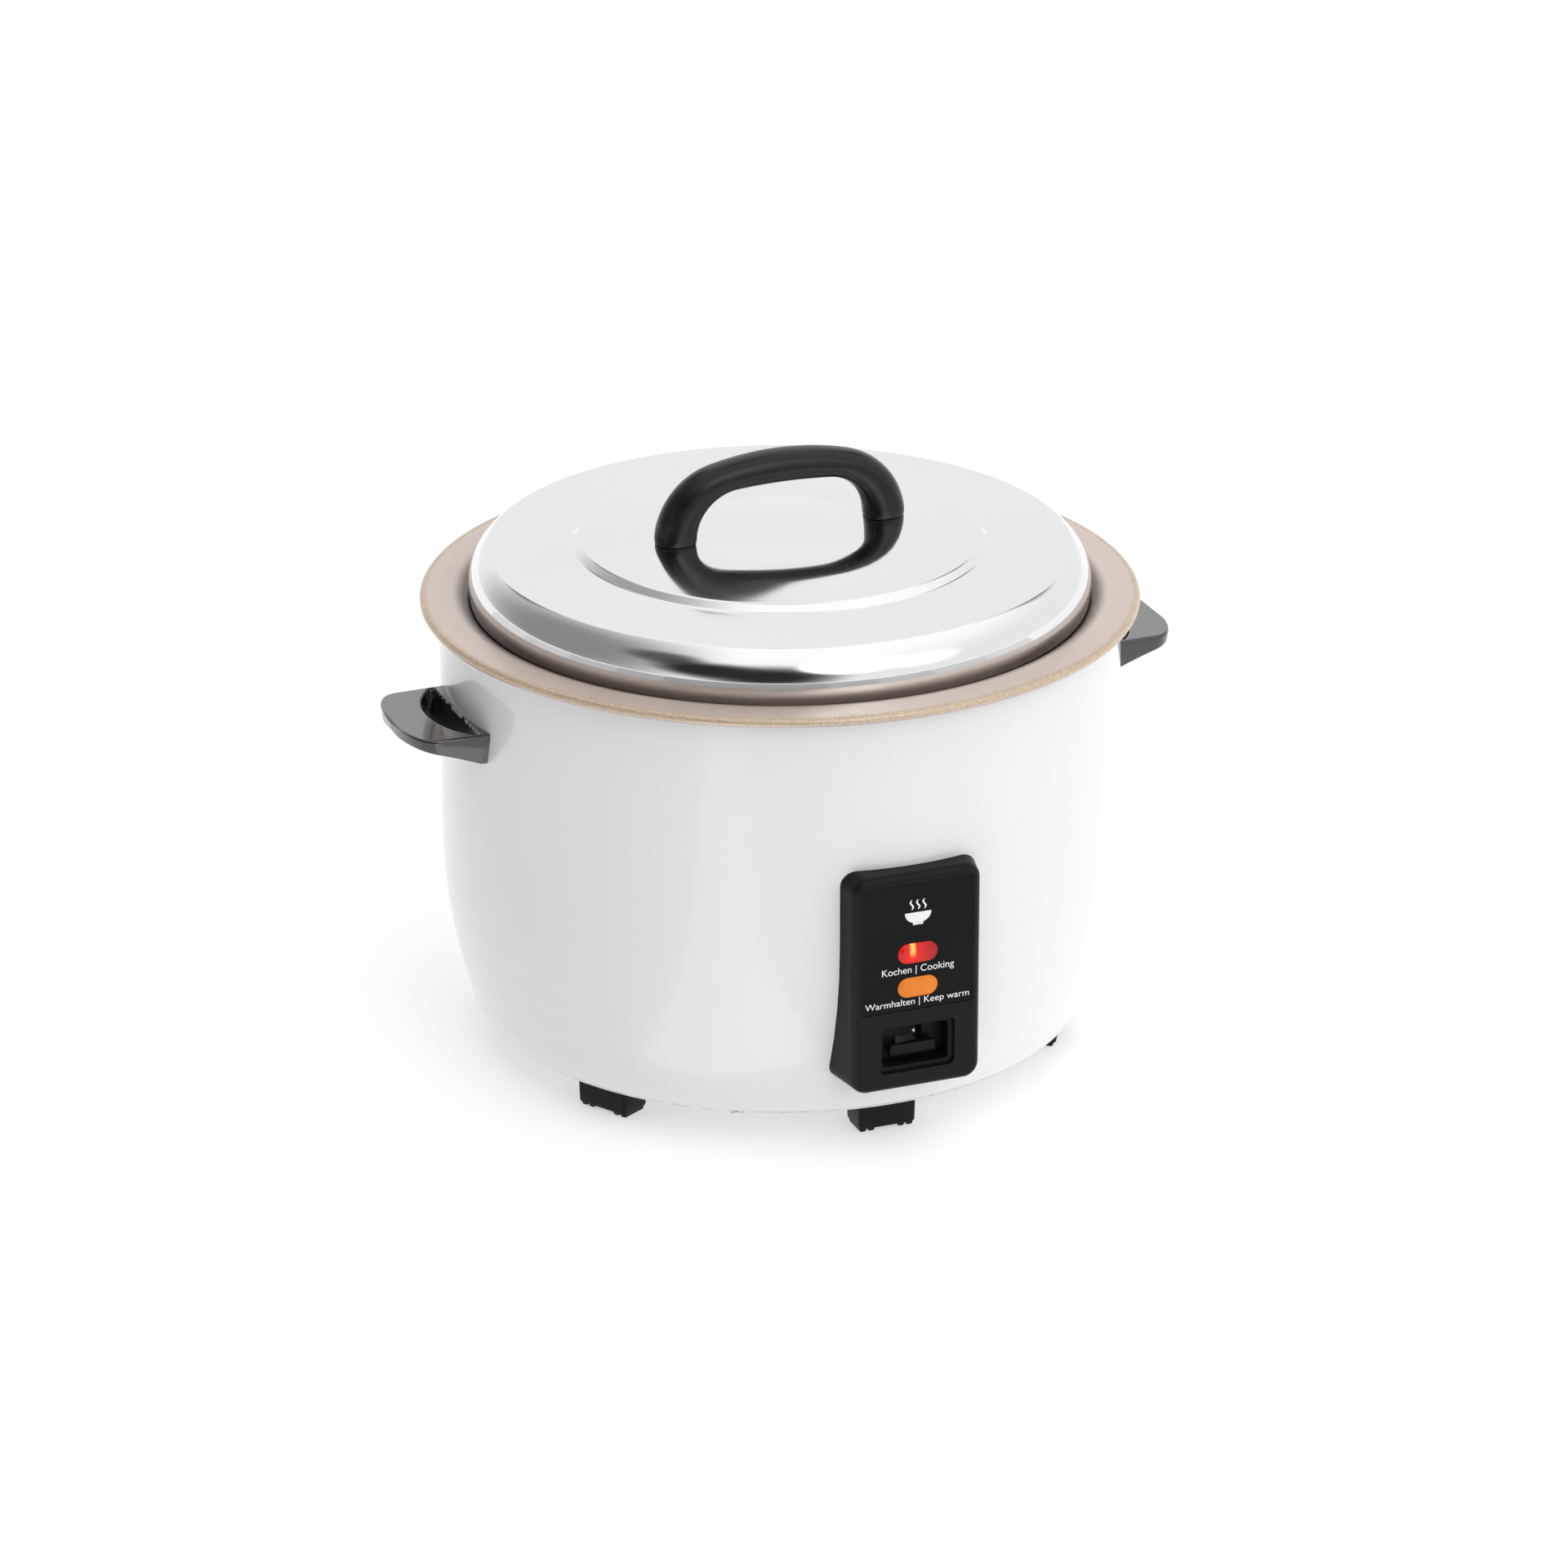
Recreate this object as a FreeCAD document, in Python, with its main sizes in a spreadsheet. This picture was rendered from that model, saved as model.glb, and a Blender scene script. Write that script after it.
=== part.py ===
import FreeCAD, Part
import math
import os
import re
import Sketcher

# A commercial rice cooker: a round steel housing on six feet, with a lift-out pot and a lift-off lid.
# Millimetres, +Z up. The origin is on the ground, on the axis of the pot.
# The control panel faces -Y, and the side handles stand out along +X and -X.

DIMENSIONS = {
    # Housing shell: a straight wall, a gently rounded belly and a tighter heel.
    "shell_radius": 185, "shell_wall": 1.2, "shell_top": 251, "shell_edge": 2, "shell_lip_radius": 175,
    "belly_top": 122, "belly_arc": 302, "heel_top": 34, "heel_top_radius": 172, "heel_arc": 46,
    "shell_bottom": 20, "shell_bottom_radius": 165, "hem_radius": 157,
    # Heating chamber liner.
    "liner_radius": 170.4, "liner_wall": 1, "liner_floor": 64, "liner_corner": 11, "liner_opening": 106,
    "liner_flange_radius": 182,
    # Pot.
    "rim_radius": 195, "rim_top": 256.5, "rim_bead": 2.5, "pot_wall": 2, "pot_radius": 165,
    "pot_floor": 84, "pot_corner": 28, "pot_mouth_arc": 12.3,
    # Lid.
    "lid_radius": 168.6, "lid_wall": 1, "lid_top": 290.5, "lid_dish_radius": 52, "lid_dish_depth": 3.2,
    "lid_dish_arc": 424, "lid_crown_radius": 79, "lid_crown_height": 289.85, "lid_crown_arc": 220,
    "lid_step_radius": 108.7, "lid_step_height": 287.9, "lid_skirt_arc": 750, "lid_step_run": 4.2,
    "lid_ring_height": 284.3,
    "lid_shoulder_radius": 158, "lid_shoulder_height": 282, "lid_shoulder_arc": 24, "lid_side_top": 262.1,
    "lid_side_bottom": 253.5, "lid_lip_radius": 162, "lid_lip_top": 249.5, "lid_lip_bottom": 243,
    # Arched handle on the lid.
    "arch_foot_outer": 71.8, "arch_foot_inner": 48.5, "arch_bend_outer": 40, "arch_bend_inner": 26,
    "arch_bend_outer_height": 331, "arch_bend_inner_height": 317.5, "arch_top_arc": 162.5,
    "arch_grip_arc": 376, "arch_width": 21, "arch_round": 6.5, "arch_blank_floor": 288,
    "washer_height": 0.3, "lid_screw_spacing": 60.5, "lid_screw_seat": 289.5, "lid_screw_length": 13.6,
    # Side handles.
    "grip_top": 212, "grip_depth": 20, "grip_root": 178, "grip_root_half": 39, "grip_side": 206,
    "grip_side_half": 38.3, "grip_nose": 221.5, "grip_nose_half": 24, "grip_corner_arc": 16,
    "grip_nose_arc": 116.5, "grip_under_root": 193.5, "grip_under_nose": 206.5, "grip_reach": 224,
    "scoop_outer": 203.5, "scoop_inner": 186.3, "scoop_half": 36.5, "scoop_side": 195,
    "scoop_nose_half": 25, "scoop_depth": 10.5, "scoop_arc": 14, "grip_draft": 5,
    "grip_screw_height": 198.5, "grip_screw_half": 31,
    # Control panel.
    "panel_front": 195, "panel_back": 165, "panel_half": 36, "panel_back_half": 42.5, "panel_bottom": 42,
    "panel_top": 165, "panel_back_bottom": 44, "panel_back_top": 168, "panel_corner": 8, "panel_edge": 3,
    "panel_wall": 2.5, "post_length": 6.7, "label_half": 32, "label_bottom": 87.3, "label_top": 159.4,
    "label_thick": 0.4, "label_corner": 2.5,
    # Lamps and lenses.
    "lens_half": 11.3, "lens_half_height": 5.55, "cook_lens_height": 119.8, "warm_lens_height": 100.4,
    "lens_proud": 1.2, "lens_depth": 8, "lens_wall": 1.6, "lamp_radius": 2.6, "lamp_half": 7,
    # Lever window.
    "window_half": 18.8, "window_bottom": 55, "window_top": 77, "window_frame": 2.6, "window_sunk": 2.2,
    "window_depth": 11.4, "window_corner": 2.5, "window_floor": 1.5, "fit_gap": 0.1,
    # Cook lever and its paddle.
    "paddle_half": 13.3, "paddle_front": 189.6, "paddle_back": 186, "paddle_bottom": 59.15,
    "paddle_thick": 6.5, "arm_half": 6, "arm_sheet": 3, "arm_level": 50, "arm_rise_start": 150,
    "arm_rise_end": 172, "arm_rise_level": 60.6, "arm_front": 188, "arm_tip": 8, "pivot_reach": 98,
    "pin_radius": 2, "switch_reach": 18,
    # Thermostat in the middle of the heating plate.
    "sensor_radius": 16, "sensor_top": 83.7, "sensor_bottom": 68, "sensor_cap": 2, "sensor_wall": 1.2,
    "sleeve_radius": 17.3, "sleeve_wall": 1.2, "sleeve_floor": 58.8, "sleeve_top": 66,
    "sleeve_flange": 30, "ferrite_radius": 10.5, "ferrite_thick": 4.5, "magnet_thick": 4.5,
    "keeper_radius": 13.4, "keeper_thick": 1, "rod_radius": 2, "rod_bottom": 44, "collar_bottom": 53.5,
    "collar_radius": 4, "collar_thick": 1.2, "collar_hole": 5.5,
    # Heating plate and what hangs below it.
    "plate_radius": 126, "plate_top": 83.7, "plate_bottom": 71, "plate_hole": 18, "plate_edge": 4,
    "element_ring": 92, "element_radius": 5, "element_drop": 12, "standoff_ring": 114,
    "standoff_radius": 4, "shield_radius": 148, "shield_level": 58, "shield_thick": 0.8,
    # Base plate and feet.
    "base_radius": 163, "base_bottom": 18.5, "base_thick": 1.5, "foot_outer": 156, "foot_inner": 136,
    "foot_half": 16.5, "foot_nub": 2, "foot_nub_width": 6, "foot_count": 6,
    "vent_ring": 110, "vent_half": 17.5, "vent_half_width": 2.5,
    # Appliance inlet at the back.
    "inlet_face": 181, "inlet_half": 26, "inlet_bottom": 26, "inlet_top": 54, "inlet_corner": 4,
    "socket_half": 12, "socket_bottom": 32, "socket_top": 48, "socket_depth": 16, "socket_wall": 2,
}

doc = FreeCAD.newDocument("rice_cooker")
dims = doc.addObject("Spreadsheet::Sheet", "dims")
for row, (alias, number) in enumerate(DIMENSIONS.items(), start=1):
    dims.set(f"A{row}", alias)
    dims.set(f"B{row}", str(number))
    dims.setAlias(f"B{row}", alias)
doc.recompute()

WHOLE_TURN = 360
PARTS = []
OUT, ALONG_X, ALONG_Y = (0, 0, 1), (1, 0, 0), (0, 1, 0)


# ---- Helpers ----

def linked(expression):
    """The expression with each name of the sheet written as a reference to its cell."""
    return re.sub(r"[a-z_]+", lambda word: f"dims.{word[0]}" if word[0] in DIMENSIONS else word[0],
                  str(expression))


def size(expression):
    """What an expression in the sheet's names comes to."""
    found = dims.evalExpression(linked(expression))
    return float(getattr(found, "Value", found))


def part(piece, label):
    """Names a finished sub-part. Its file has the same name."""
    piece.Label = label
    PARTS.append(piece)
    return piece


def bind(piece, **sizes):
    for name, expression in sizes.items():
        piece.setExpression(name, linked(expression))
    return piece


def place(piece, x=0, y=0, z=0, axis=OUT, angle=0):
    """Puts a piece at a place given by expressions, turned about an axis by an angle in degrees."""
    piece.Placement = FreeCAD.Placement(FreeCAD.Vector(), FreeCAD.Rotation(FreeCAD.Vector(*axis), angle))
    for name, expression in zip("xyz", (x, y, z)):
        piece.setExpression(f"Placement.Base.{name}", linked(expression))
    return piece


def box(x_low, y_low, z_low, length, width, height):
    piece = doc.addObject("Part::Box", "block")
    bind(piece, Length=length, Width=width, Height=height)
    return place(piece, x_low, y_low, z_low)


def cylinder(radius, height, x=0, y=0, z=0, axis=OUT, angle=0):
    piece = doc.addObject("Part::Cylinder", "round")
    bind(piece, Radius=radius, Height=height)
    return place(piece, x, y, z, axis, angle)


def fuse(*pieces):
    piece = doc.addObject("Part::MultiFuse", "fused")
    piece.Shapes = pieces
    return piece


def common(*pieces):
    piece = doc.addObject("Part::MultiCommon", "common")
    piece.Shapes = pieces
    return piece


def cut(base, *tools):
    piece = doc.addObject("Part::Cut", "cut")
    piece.Base = base
    piece.Tool = tools[0] if len(tools) == 1 else fuse(*tools)
    return piece


def group(*pieces):
    """Separate solids in one sub-part, such as a set of like screws."""
    piece = doc.addObject("Part::Compound", "group")
    piece.Links = pieces
    return piece


def turned(piece, angle, x=0, y=0, z=0):
    """A piece drawn at angle zero, copied to an angle about the Z axis."""
    copy = doc.addObject("Part::Compound", "turned")
    copy.Links = [piece]
    return place(copy, x, y, z, OUT, angle)


def rounded(piece, radius, chosen):
    """Rounds the edges for which chosen(edge) is true."""
    doc.recompute()
    numbers = [i for i, edge in enumerate(piece.Shape.Edges, start=1) if chosen(edge)]
    fillet = doc.addObject("Part::Fillet", "rounded")
    fillet.Base = piece
    fillet.Edges = [(number, size(radius), size(radius)) for number in numbers]
    return fillet


def body_sketch(role, offset=0):
    """A new body with a sketch on one of its origin planes, moved out along the plane's normal."""
    body = doc.addObject("PartDesign::Body", "body")
    return body, add_sketch(body, role, offset)


def add_sketch(body, role, offset=0):
    sketch = body.newObject("Sketcher::SketchObject", "sketch")
    plane = next(feature for feature in body.Origin.OriginFeatures if feature.Role == role)
    sketch.AttachmentSupport = (plane, "")
    sketch.MapMode = "FlatFace"
    sketch.setExpression("AttachmentOffset.Base.z", linked(offset))
    return sketch


def arc_between(start, end, radius, turn):
    """The arc of up to half a turn from start to end, which turns left or right on the way."""
    chord = end - start
    reach = math.sqrt(max(radius**2 - (chord.Length / 2)**2, 0))
    left = FreeCAD.Vector(-chord.y, chord.x, 0).normalize()
    centre = (start + end) * 0.5 + left * (reach if turn == "left" else -reach)
    first, last = (start, end) if turn == "left" else (end, start)
    angles = [math.atan2(point.y - centre.y, point.x - centre.x) for point in (first, last)]
    if angles[1] < angles[0]:
        angles[1] += 2 * math.pi
    circle = Part.Circle(centre, FreeCAD.Vector(*OUT), radius)
    return Part.ArcOfCircle(circle, angles[0], angles[1])


def draw(sketch, outline):
    """Draws a closed outline, and ties each of its corners and radii to the sheet.

    Each corner is (x, y) or, where an arc arrives at it, (x, y, radius, "left" or "right").
    """
    points = [FreeCAD.Vector(size(corner[0]), size(corner[1]), 0) for corner in outline]
    ends = []
    for i, corner in enumerate(outline):
        if len(corner) == 4:
            edge = arc_between(points[i - 1], points[i], size(corner[2]), corner[3])
            ends.append((1, 2) if corner[3] == "left" else (2, 1))
        else:
            edge = Part.LineSegment(points[i - 1], points[i])
            ends.append((1, 2))
        sketch.addGeometry(edge, False)
    for i, corner in enumerate(outline):
        before = (i - 1) % len(outline)
        sketch.addConstraint(Sketcher.Constraint("Coincident", before, ends[before][1], i, ends[i][0]))
        for kind, axis, number, expression in (
            ("DistanceX", -2, points[i].x, corner[0]),
            ("DistanceY", -1, points[i].y, corner[1]),
        ):
            if abs(number) < 1e-9:
                sketch.addConstraint(Sketcher.Constraint("PointOnObject", i, ends[i][1], axis))
            else:
                at = sketch.addConstraint(Sketcher.Constraint(kind, -1, 1, i, ends[i][1], number))
                sketch.setExpression(f"Constraints[{at}]", linked(expression))
        if len(corner) == 4:
            at = sketch.addConstraint(Sketcher.Constraint("Radius", i, size(corner[2])))
            sketch.setExpression(f"Constraints[{at}]", linked(corner[2]))


def revolved(outline, angle=WHOLE_TURN):
    """A piece of revolution about the Z axis, from its half outline (radius, height)."""
    body, sketch = body_sketch("XZ_Plane")
    draw(sketch, outline)
    turn = body.newObject("PartDesign::Revolution", "turn")
    turn.Profile = sketch
    turn.ReferenceAxis = (sketch, ["V_Axis"])
    turn.Angle = angle
    body.Tip = turn
    return body


def slab(role, outline, top, thickness):
    """A flat piece whose front face is at top along the plane's normal. The XZ plane's normal is -Y."""
    body, sketch = body_sketch(role, f"({top}) - ({thickness})")
    draw(sketch, outline)
    pad = body.newObject("PartDesign::Pad", "pad")
    pad.Profile = sketch
    bind(pad, Length=thickness)
    body.Tip = pad
    return body


def loft(*sections):
    """A piece that runs straight from outline to outline. Each section is an outline and its distance
    in front."""
    body, first = body_sketch("XZ_Plane", sections[0][1])
    draw(first, sections[0][0])
    others = []
    for outline, front in sections[1:]:
        others.append(add_sketch(body, "XZ_Plane", front))
        draw(others[-1], outline)
    skin = body.newObject("PartDesign::AdditiveLoft", "loft")
    skin.Profile = first
    skin.Sections = others
    skin.Ruled = True
    body.Tip = skin
    return body


def rectangle(half, low, high, corner):
    """A rectangle with round corners, from -half to half and from low to high."""
    return [
        (f"-({half}) + ({corner})", low, corner, "left"),
        (f"({half}) - ({corner})", low),
        (half, f"{low} + ({corner})", corner, "left"),
        (half, f"{high} - ({corner})"),
        (f"({half}) - ({corner})", high, corner, "left"),
        (f"-({half}) + ({corner})", high),
        (f"-({half})", f"{high} - ({corner})", corner, "left"),
        (f"-({half})", f"{low} + ({corner})"),
    ]


def stadium(half, half_height, height):
    """A long hole or lens with round ends, centred at a height."""
    straight = f"({half}) - ({half_height})"
    return [
        (f"-({straight})", f"{height} - ({half_height})", half_height, "left"),
        (straight, f"{height} - ({half_height})"),
        (half, height, half_height, "left"),
        (straight, f"{height} + ({half_height})", half_height, "left"),
        (f"-({straight})", f"{height} + ({half_height})"),
        (f"-({half})", height, half_height, "left"),
    ]


def is_level(edge, height, axis="z"):
    """Whether an edge lies all along at one height."""
    box_of = edge.BoundBox
    low, high = getattr(box_of, f"{axis.upper()}Min"), getattr(box_of, f"{axis.upper()}Max")
    return abs(low - height) < 0.01 and abs(high - height) < 0.01


def spring(mean_radius, wire_radius, bottom, top, turns):
    """A coil spring on the Z axis whose ends stop just short of the faces it pushes on."""
    rise = top - bottom - 2.2 * wire_radius
    helix = Part.makeHelix(rise / turns, rise, mean_radius)
    start = FreeCAD.Vector(mean_radius, 0, 0)
    section = Part.Wire(Part.makeCircle(wire_radius, start, FreeCAD.Vector(*ALONG_Y)))
    piece = doc.addObject("Part::Feature", "spring")
    piece.Shape = Part.Wire(helix).makePipeShell([section], True, True)
    piece.Placement.Base.z = bottom + 1.1 * wire_radius
    return piece


def wire(radius, *points):
    """A wire along straight runs joined by tangent arcs, as large as the runs allow."""
    points = [FreeCAD.Vector(*point) for point in points]
    edges = []
    last = points[0]
    for before, corner, after in zip(points, points[1:], points[2:]):
        arriving = (corner - before).normalize()
        leaving = (after - corner).normalize()
        half_turn = arriving.getAngle(leaving) / 2
        trim = 0.45 * min((corner - before).Length, (after - corner).Length)
        arc_start = corner - arriving * trim
        arc_end = corner + leaving * trim
        inward = (leaving - arriving).normalize()
        bend = trim / math.tan(half_turn)
        middle = corner + inward * (bend / math.cos(half_turn) - bend)
        edges.append(Part.makeLine(last, arc_start))
        edges.append(Part.Arc(arc_start, middle, arc_end).toShape())
        last = arc_end
    edges.append(Part.makeLine(last, points[-1]))
    path = Part.Wire(edges)
    section = Part.Wire(Part.makeCircle(radius, points[0], points[1] - points[0]))
    piece = doc.addObject("Part::Feature", "wire")
    piece.Shape = path.makePipeShell([section], True, True)
    return piece


# ---- Housing ----

def around_circle(radius, angles):
    """The x and y, as expressions, of places on a circle about the Z axis."""
    return [(f"({radius}) * cos({angle})", f"({radius}) * sin({angle})") for angle in angles]


def hem_screw_places():
    return around_circle("hem_radius + 3", (0, 120, 240))


def hem_screw_holes():
    return [cylinder(1.5, 8, *at, "base_bottom - 2") for at in hem_screw_places()]


def shell_side(gap=0):
    """The outside of the housing from its bottom edge up to its straight wall, gap further out."""
    return [
        (f"heel_top_radius + {gap}", "heel_top", "heel_arc", "left"),
        (f"shell_radius + {gap}", "belly_top", "belly_arc", "left"),
    ]


def shell_blank(gap):
    """The housing without its hollow, gap larger than it is, to cut what lies against the housing."""
    return revolved([
        (0, "shell_bottom - 10"),
        (f"shell_bottom_radius + {gap} - 6", "shell_bottom - 10"),
        (f"shell_bottom_radius + {gap}", "shell_bottom"),
        *shell_side(gap),
        (f"shell_radius + {gap}", "shell_top + 20"),
        (0, "shell_top + 20"),
    ])


def housing_shell():
    sheet_metal = revolved([
        ("shell_bottom_radius", "shell_bottom"),
        *shell_side(),
        ("shell_radius", "shell_top - shell_edge"),
        ("shell_radius - shell_edge", "shell_top", "shell_edge", "left"),
        ("shell_lip_radius", "shell_top"),
        ("shell_lip_radius", "shell_top - shell_wall"),
        ("shell_radius - shell_wall", "shell_top - shell_wall"),
        ("shell_radius - shell_wall", "belly_top"),
        ("heel_top_radius - shell_wall", "heel_top", "belly_arc", "right"),
        ("shell_bottom_radius - shell_wall", "shell_bottom + shell_wall", "heel_arc", "right"),
        ("hem_radius", "shell_bottom + shell_wall"),
        ("hem_radius", "shell_bottom"),
    ])
    panel_hole = box(-22, -200, "window_bottom - window_frame - 0.5", 44, 50, 96)
    inlet_hole = box("-socket_half - socket_wall - 0.5", 150, "socket_bottom - socket_wall - 0.5",
                     "2 * socket_half + 2 * socket_wall + 1", 50,
                     "socket_top - socket_bottom + 2 * socket_wall + 1")
    screw_holes = [
        cylinder(2.2, 20, f"{side} * 192", f"{end} * grip_screw_half", "grip_screw_height",
                 ALONG_Y, -90 * side)
        for side in (-1, 1) for end in (-1, 1)
    ]
    part(cut(sheet_metal, panel_hole, inlet_hole, *screw_holes, *hem_screw_holes()), "housing_shell")


def standoff_places():
    return around_circle("standoff_ring", (30, 150, 270))


def spacer_places():
    return around_circle("shield_radius - 12", (90, 210, 330))


def inner_liner():
    """The heating chamber, open in the middle of its floor, with a flange under the housing's top lip."""
    chamber = revolved([
        ("liner_flange_radius", "shell_top - shell_wall"),
        ("liner_flange_radius", "shell_top - shell_wall - liner_wall"),
        ("liner_radius + liner_wall", "shell_top - shell_wall - liner_wall"),
        ("liner_radius + liner_wall", "liner_floor + liner_wall + liner_corner"),
        ("liner_radius - liner_corner", "liner_floor", "liner_corner + liner_wall", "right"),
        ("liner_opening", "liner_floor"),
        ("liner_opening", "liner_floor + liner_wall"),
        ("liner_radius - liner_corner", "liner_floor + liner_wall"),
        ("liner_radius", "liner_floor + liner_wall + liner_corner", "liner_corner", "left"),
        ("liner_radius", "shell_top - shell_wall"),
    ])
    holes = [cylinder(2, 5, *at, "liner_floor - 2") for at in standoff_places() + spacer_places()]
    part(cut(chamber, *holes), "inner_liner")


def base_plate():
    """The bottom cover, with vent slots and holes, and the screws that hold it to the housing's hem."""
    disc = cylinder("base_radius", "base_thick", 0, 0, "base_bottom")
    slot = slab("XY_Plane", stadium("vent_half", "vent_half_width", "0"), "base_bottom + 5", 10)
    slot_angles = range(0, WHOLE_TURN, 15)
    slots = [turned(slot, angle, *at)
             for angle, at in zip(slot_angles, around_circle("vent_ring", slot_angles))]
    holes = [
        cylinder("vent_half_width", 10, *at, "base_bottom - 4")
        for ring in ("vent_ring / 2", "vent_ring / 3")
        for at in around_circle(ring, range(0, WHOLE_TURN, 30))
    ]
    foot_holes = [
        cylinder(2, 10, *at, "base_bottom - 4")
        for at in around_circle("(foot_inner + foot_outer) / 2", foot_angles())
    ]
    part(cut(disc, *slots, *holes, *foot_holes, *hem_screw_holes()), "base_plate")
    screws = [
        fuse(cylinder(1.5, 6, *at, "base_bottom - 0.5"), cylinder(3.5, 1.5, *at, "base_bottom - 1.5"))
        for at in hem_screw_places()
    ]
    part(group(*screws), "base_screws")


def foot_angles():
    step = WHOLE_TURN / size("foot_count")
    return [-90 + step * i for i in range(int(size("foot_count")))]


def feet():
    """Moulded feet, each a block with a ridge along both ends of its sole. The first is at the front."""
    block = box("foot_inner", "-foot_half", "foot_nub", "foot_outer - foot_inner", "2 * foot_half",
                "base_bottom - foot_nub")
    ridges = [
        box("foot_inner + 2", start, 0, "foot_outer - foot_inner - 4", "foot_nub_width", "foot_nub")
        for start in ("-foot_half", "foot_half - foot_nub_width")
    ]
    upright = rounded(block, 1.5, lambda edge: edge.BoundBox.ZLength > 10)
    foot = fuse(upright, *ridges)
    screw = fuse(
        cylinder(2, "base_thick + 8", "(foot_inner + foot_outer) / 2", 0, "base_bottom - 8"),
        cylinder(4, 2, "(foot_inner + foot_outer) / 2", 0, "base_bottom + base_thick"),
    )
    well = cylinder(2, 9, "(foot_inner + foot_outer) / 2", 0, "base_bottom - 8")
    drilled = cut(foot, well)
    screws = []
    for number, angle in enumerate(foot_angles(), start=1):
        part(turned(drilled, angle), f"foot_{number}")
        screws.append(turned(screw, angle))
    part(group(*screws), "foot_screws")


# ---- Pot and lid ----

def inner_pot():
    """A pressed pot: a flat floor, a straight wall and a mouth that curves out to a flat rolled flange."""
    mouth = "pot_radius + pot_mouth_arc"
    mouth_level = "rim_top - pot_wall - pot_mouth_arc"
    bead_centre = "rim_radius - rim_bead"
    part(revolved([
        (0, "pot_floor"),
        ("pot_radius - pot_corner", "pot_floor"),
        ("pot_radius", "pot_floor + pot_corner", "pot_corner", "left"),
        ("pot_radius", mouth_level),
        (mouth, "rim_top - pot_wall", "pot_mouth_arc", "right"),
        (f"{bead_centre} - sqrt(rim_bead^2 - (rim_bead - pot_wall)^2)", "rim_top - pot_wall"),
        (bead_centre, "rim_top - 2 * rim_bead", "rim_bead", "left"),
        ("rim_radius", "rim_top - rim_bead", "rim_bead", "left"),
        (bead_centre, "rim_top", "rim_bead", "left"),
        (mouth, "rim_top"),
        ("pot_radius - pot_wall", mouth_level, "pot_mouth_arc + pot_wall", "left"),
        ("pot_radius - pot_wall", "pot_floor + pot_corner"),
        ("pot_radius - pot_corner", "pot_floor + pot_wall", "pot_corner - pot_wall", "right"),
        (0, "pot_floor + pot_wall"),
    ]), "inner_pot")


def lid_middle(gap):
    """The top of the lid from its centre, up the finger dish and down the crown round it, gap higher."""
    return [
        (0, f"lid_top - lid_dish_depth + {gap}"),
        ("lid_dish_radius", f"lid_top + {gap}", "lid_dish_arc", "left"),
        ("lid_crown_radius", f"lid_crown_height + {gap}", "lid_crown_arc", "right"),
        ("lid_step_radius", f"lid_step_height + {gap}", "lid_skirt_arc", "left"),
    ]


def lid_blank(gap):
    """The lid's middle without its hollow, gap higher than it is, to cut what stands on the lid."""
    return revolved([
        *lid_middle(gap),
        ("lid_step_radius", "lid_lip_top"),
        (0, "lid_lip_top"),
    ])


def lid():
    """Pressed sheet: a dish in a low crown, a step, a ring, a round shoulder and a lip in the pot."""
    dished = revolved([
        *lid_middle("0"),
        ("lid_step_radius + lid_step_run", "lid_ring_height"),
        ("lid_shoulder_radius", "lid_shoulder_height"),
        ("lid_radius", "lid_side_top", "lid_shoulder_arc", "right"),
        ("lid_radius - 0.6", "lid_side_bottom"),
        ("lid_lip_radius", "lid_lip_top"),
        ("lid_lip_radius", "lid_lip_bottom"),
        ("lid_lip_radius - lid_wall", "lid_lip_bottom"),
        ("lid_lip_radius - lid_wall", "lid_lip_top + 0.6"),
        ("lid_radius - 0.6 - lid_wall", "lid_side_bottom + 0.6"),
        ("lid_radius - lid_wall", "lid_side_top"),
        ("lid_shoulder_radius - 0.5", "lid_shoulder_height - lid_wall", "lid_shoulder_arc - lid_wall",
         "left"),
        ("lid_step_radius + lid_step_run - 0.4", "lid_ring_height - lid_wall"),
        ("lid_step_radius - 0.4", "lid_step_height - lid_wall"),
        ("lid_crown_radius", "lid_crown_height - lid_wall", "lid_skirt_arc + lid_wall", "right"),
        ("lid_dish_radius", "lid_top - lid_wall", "lid_crown_arc - lid_wall", "left"),
        (0, "lid_top - lid_dish_depth - lid_wall", "lid_dish_arc", "right"),
    ])
    holes = [
        cylinder(2.2, 6, f"{side} * lid_screw_spacing", 0, "lid_top - 4") for side in (-1, 1)
    ]
    part(cut(dished, *holes), "lid")


def tangent_radius(run, rise, top_sine):
    """The radius of an arc that rises by rise over run and ends tangent to a top arc at that sine."""
    return f"sqrt(({run})^2 + ({rise})^2) / 2 / sin(atan(({rise}) / ({run})) - asin({top_sine}))"


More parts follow.
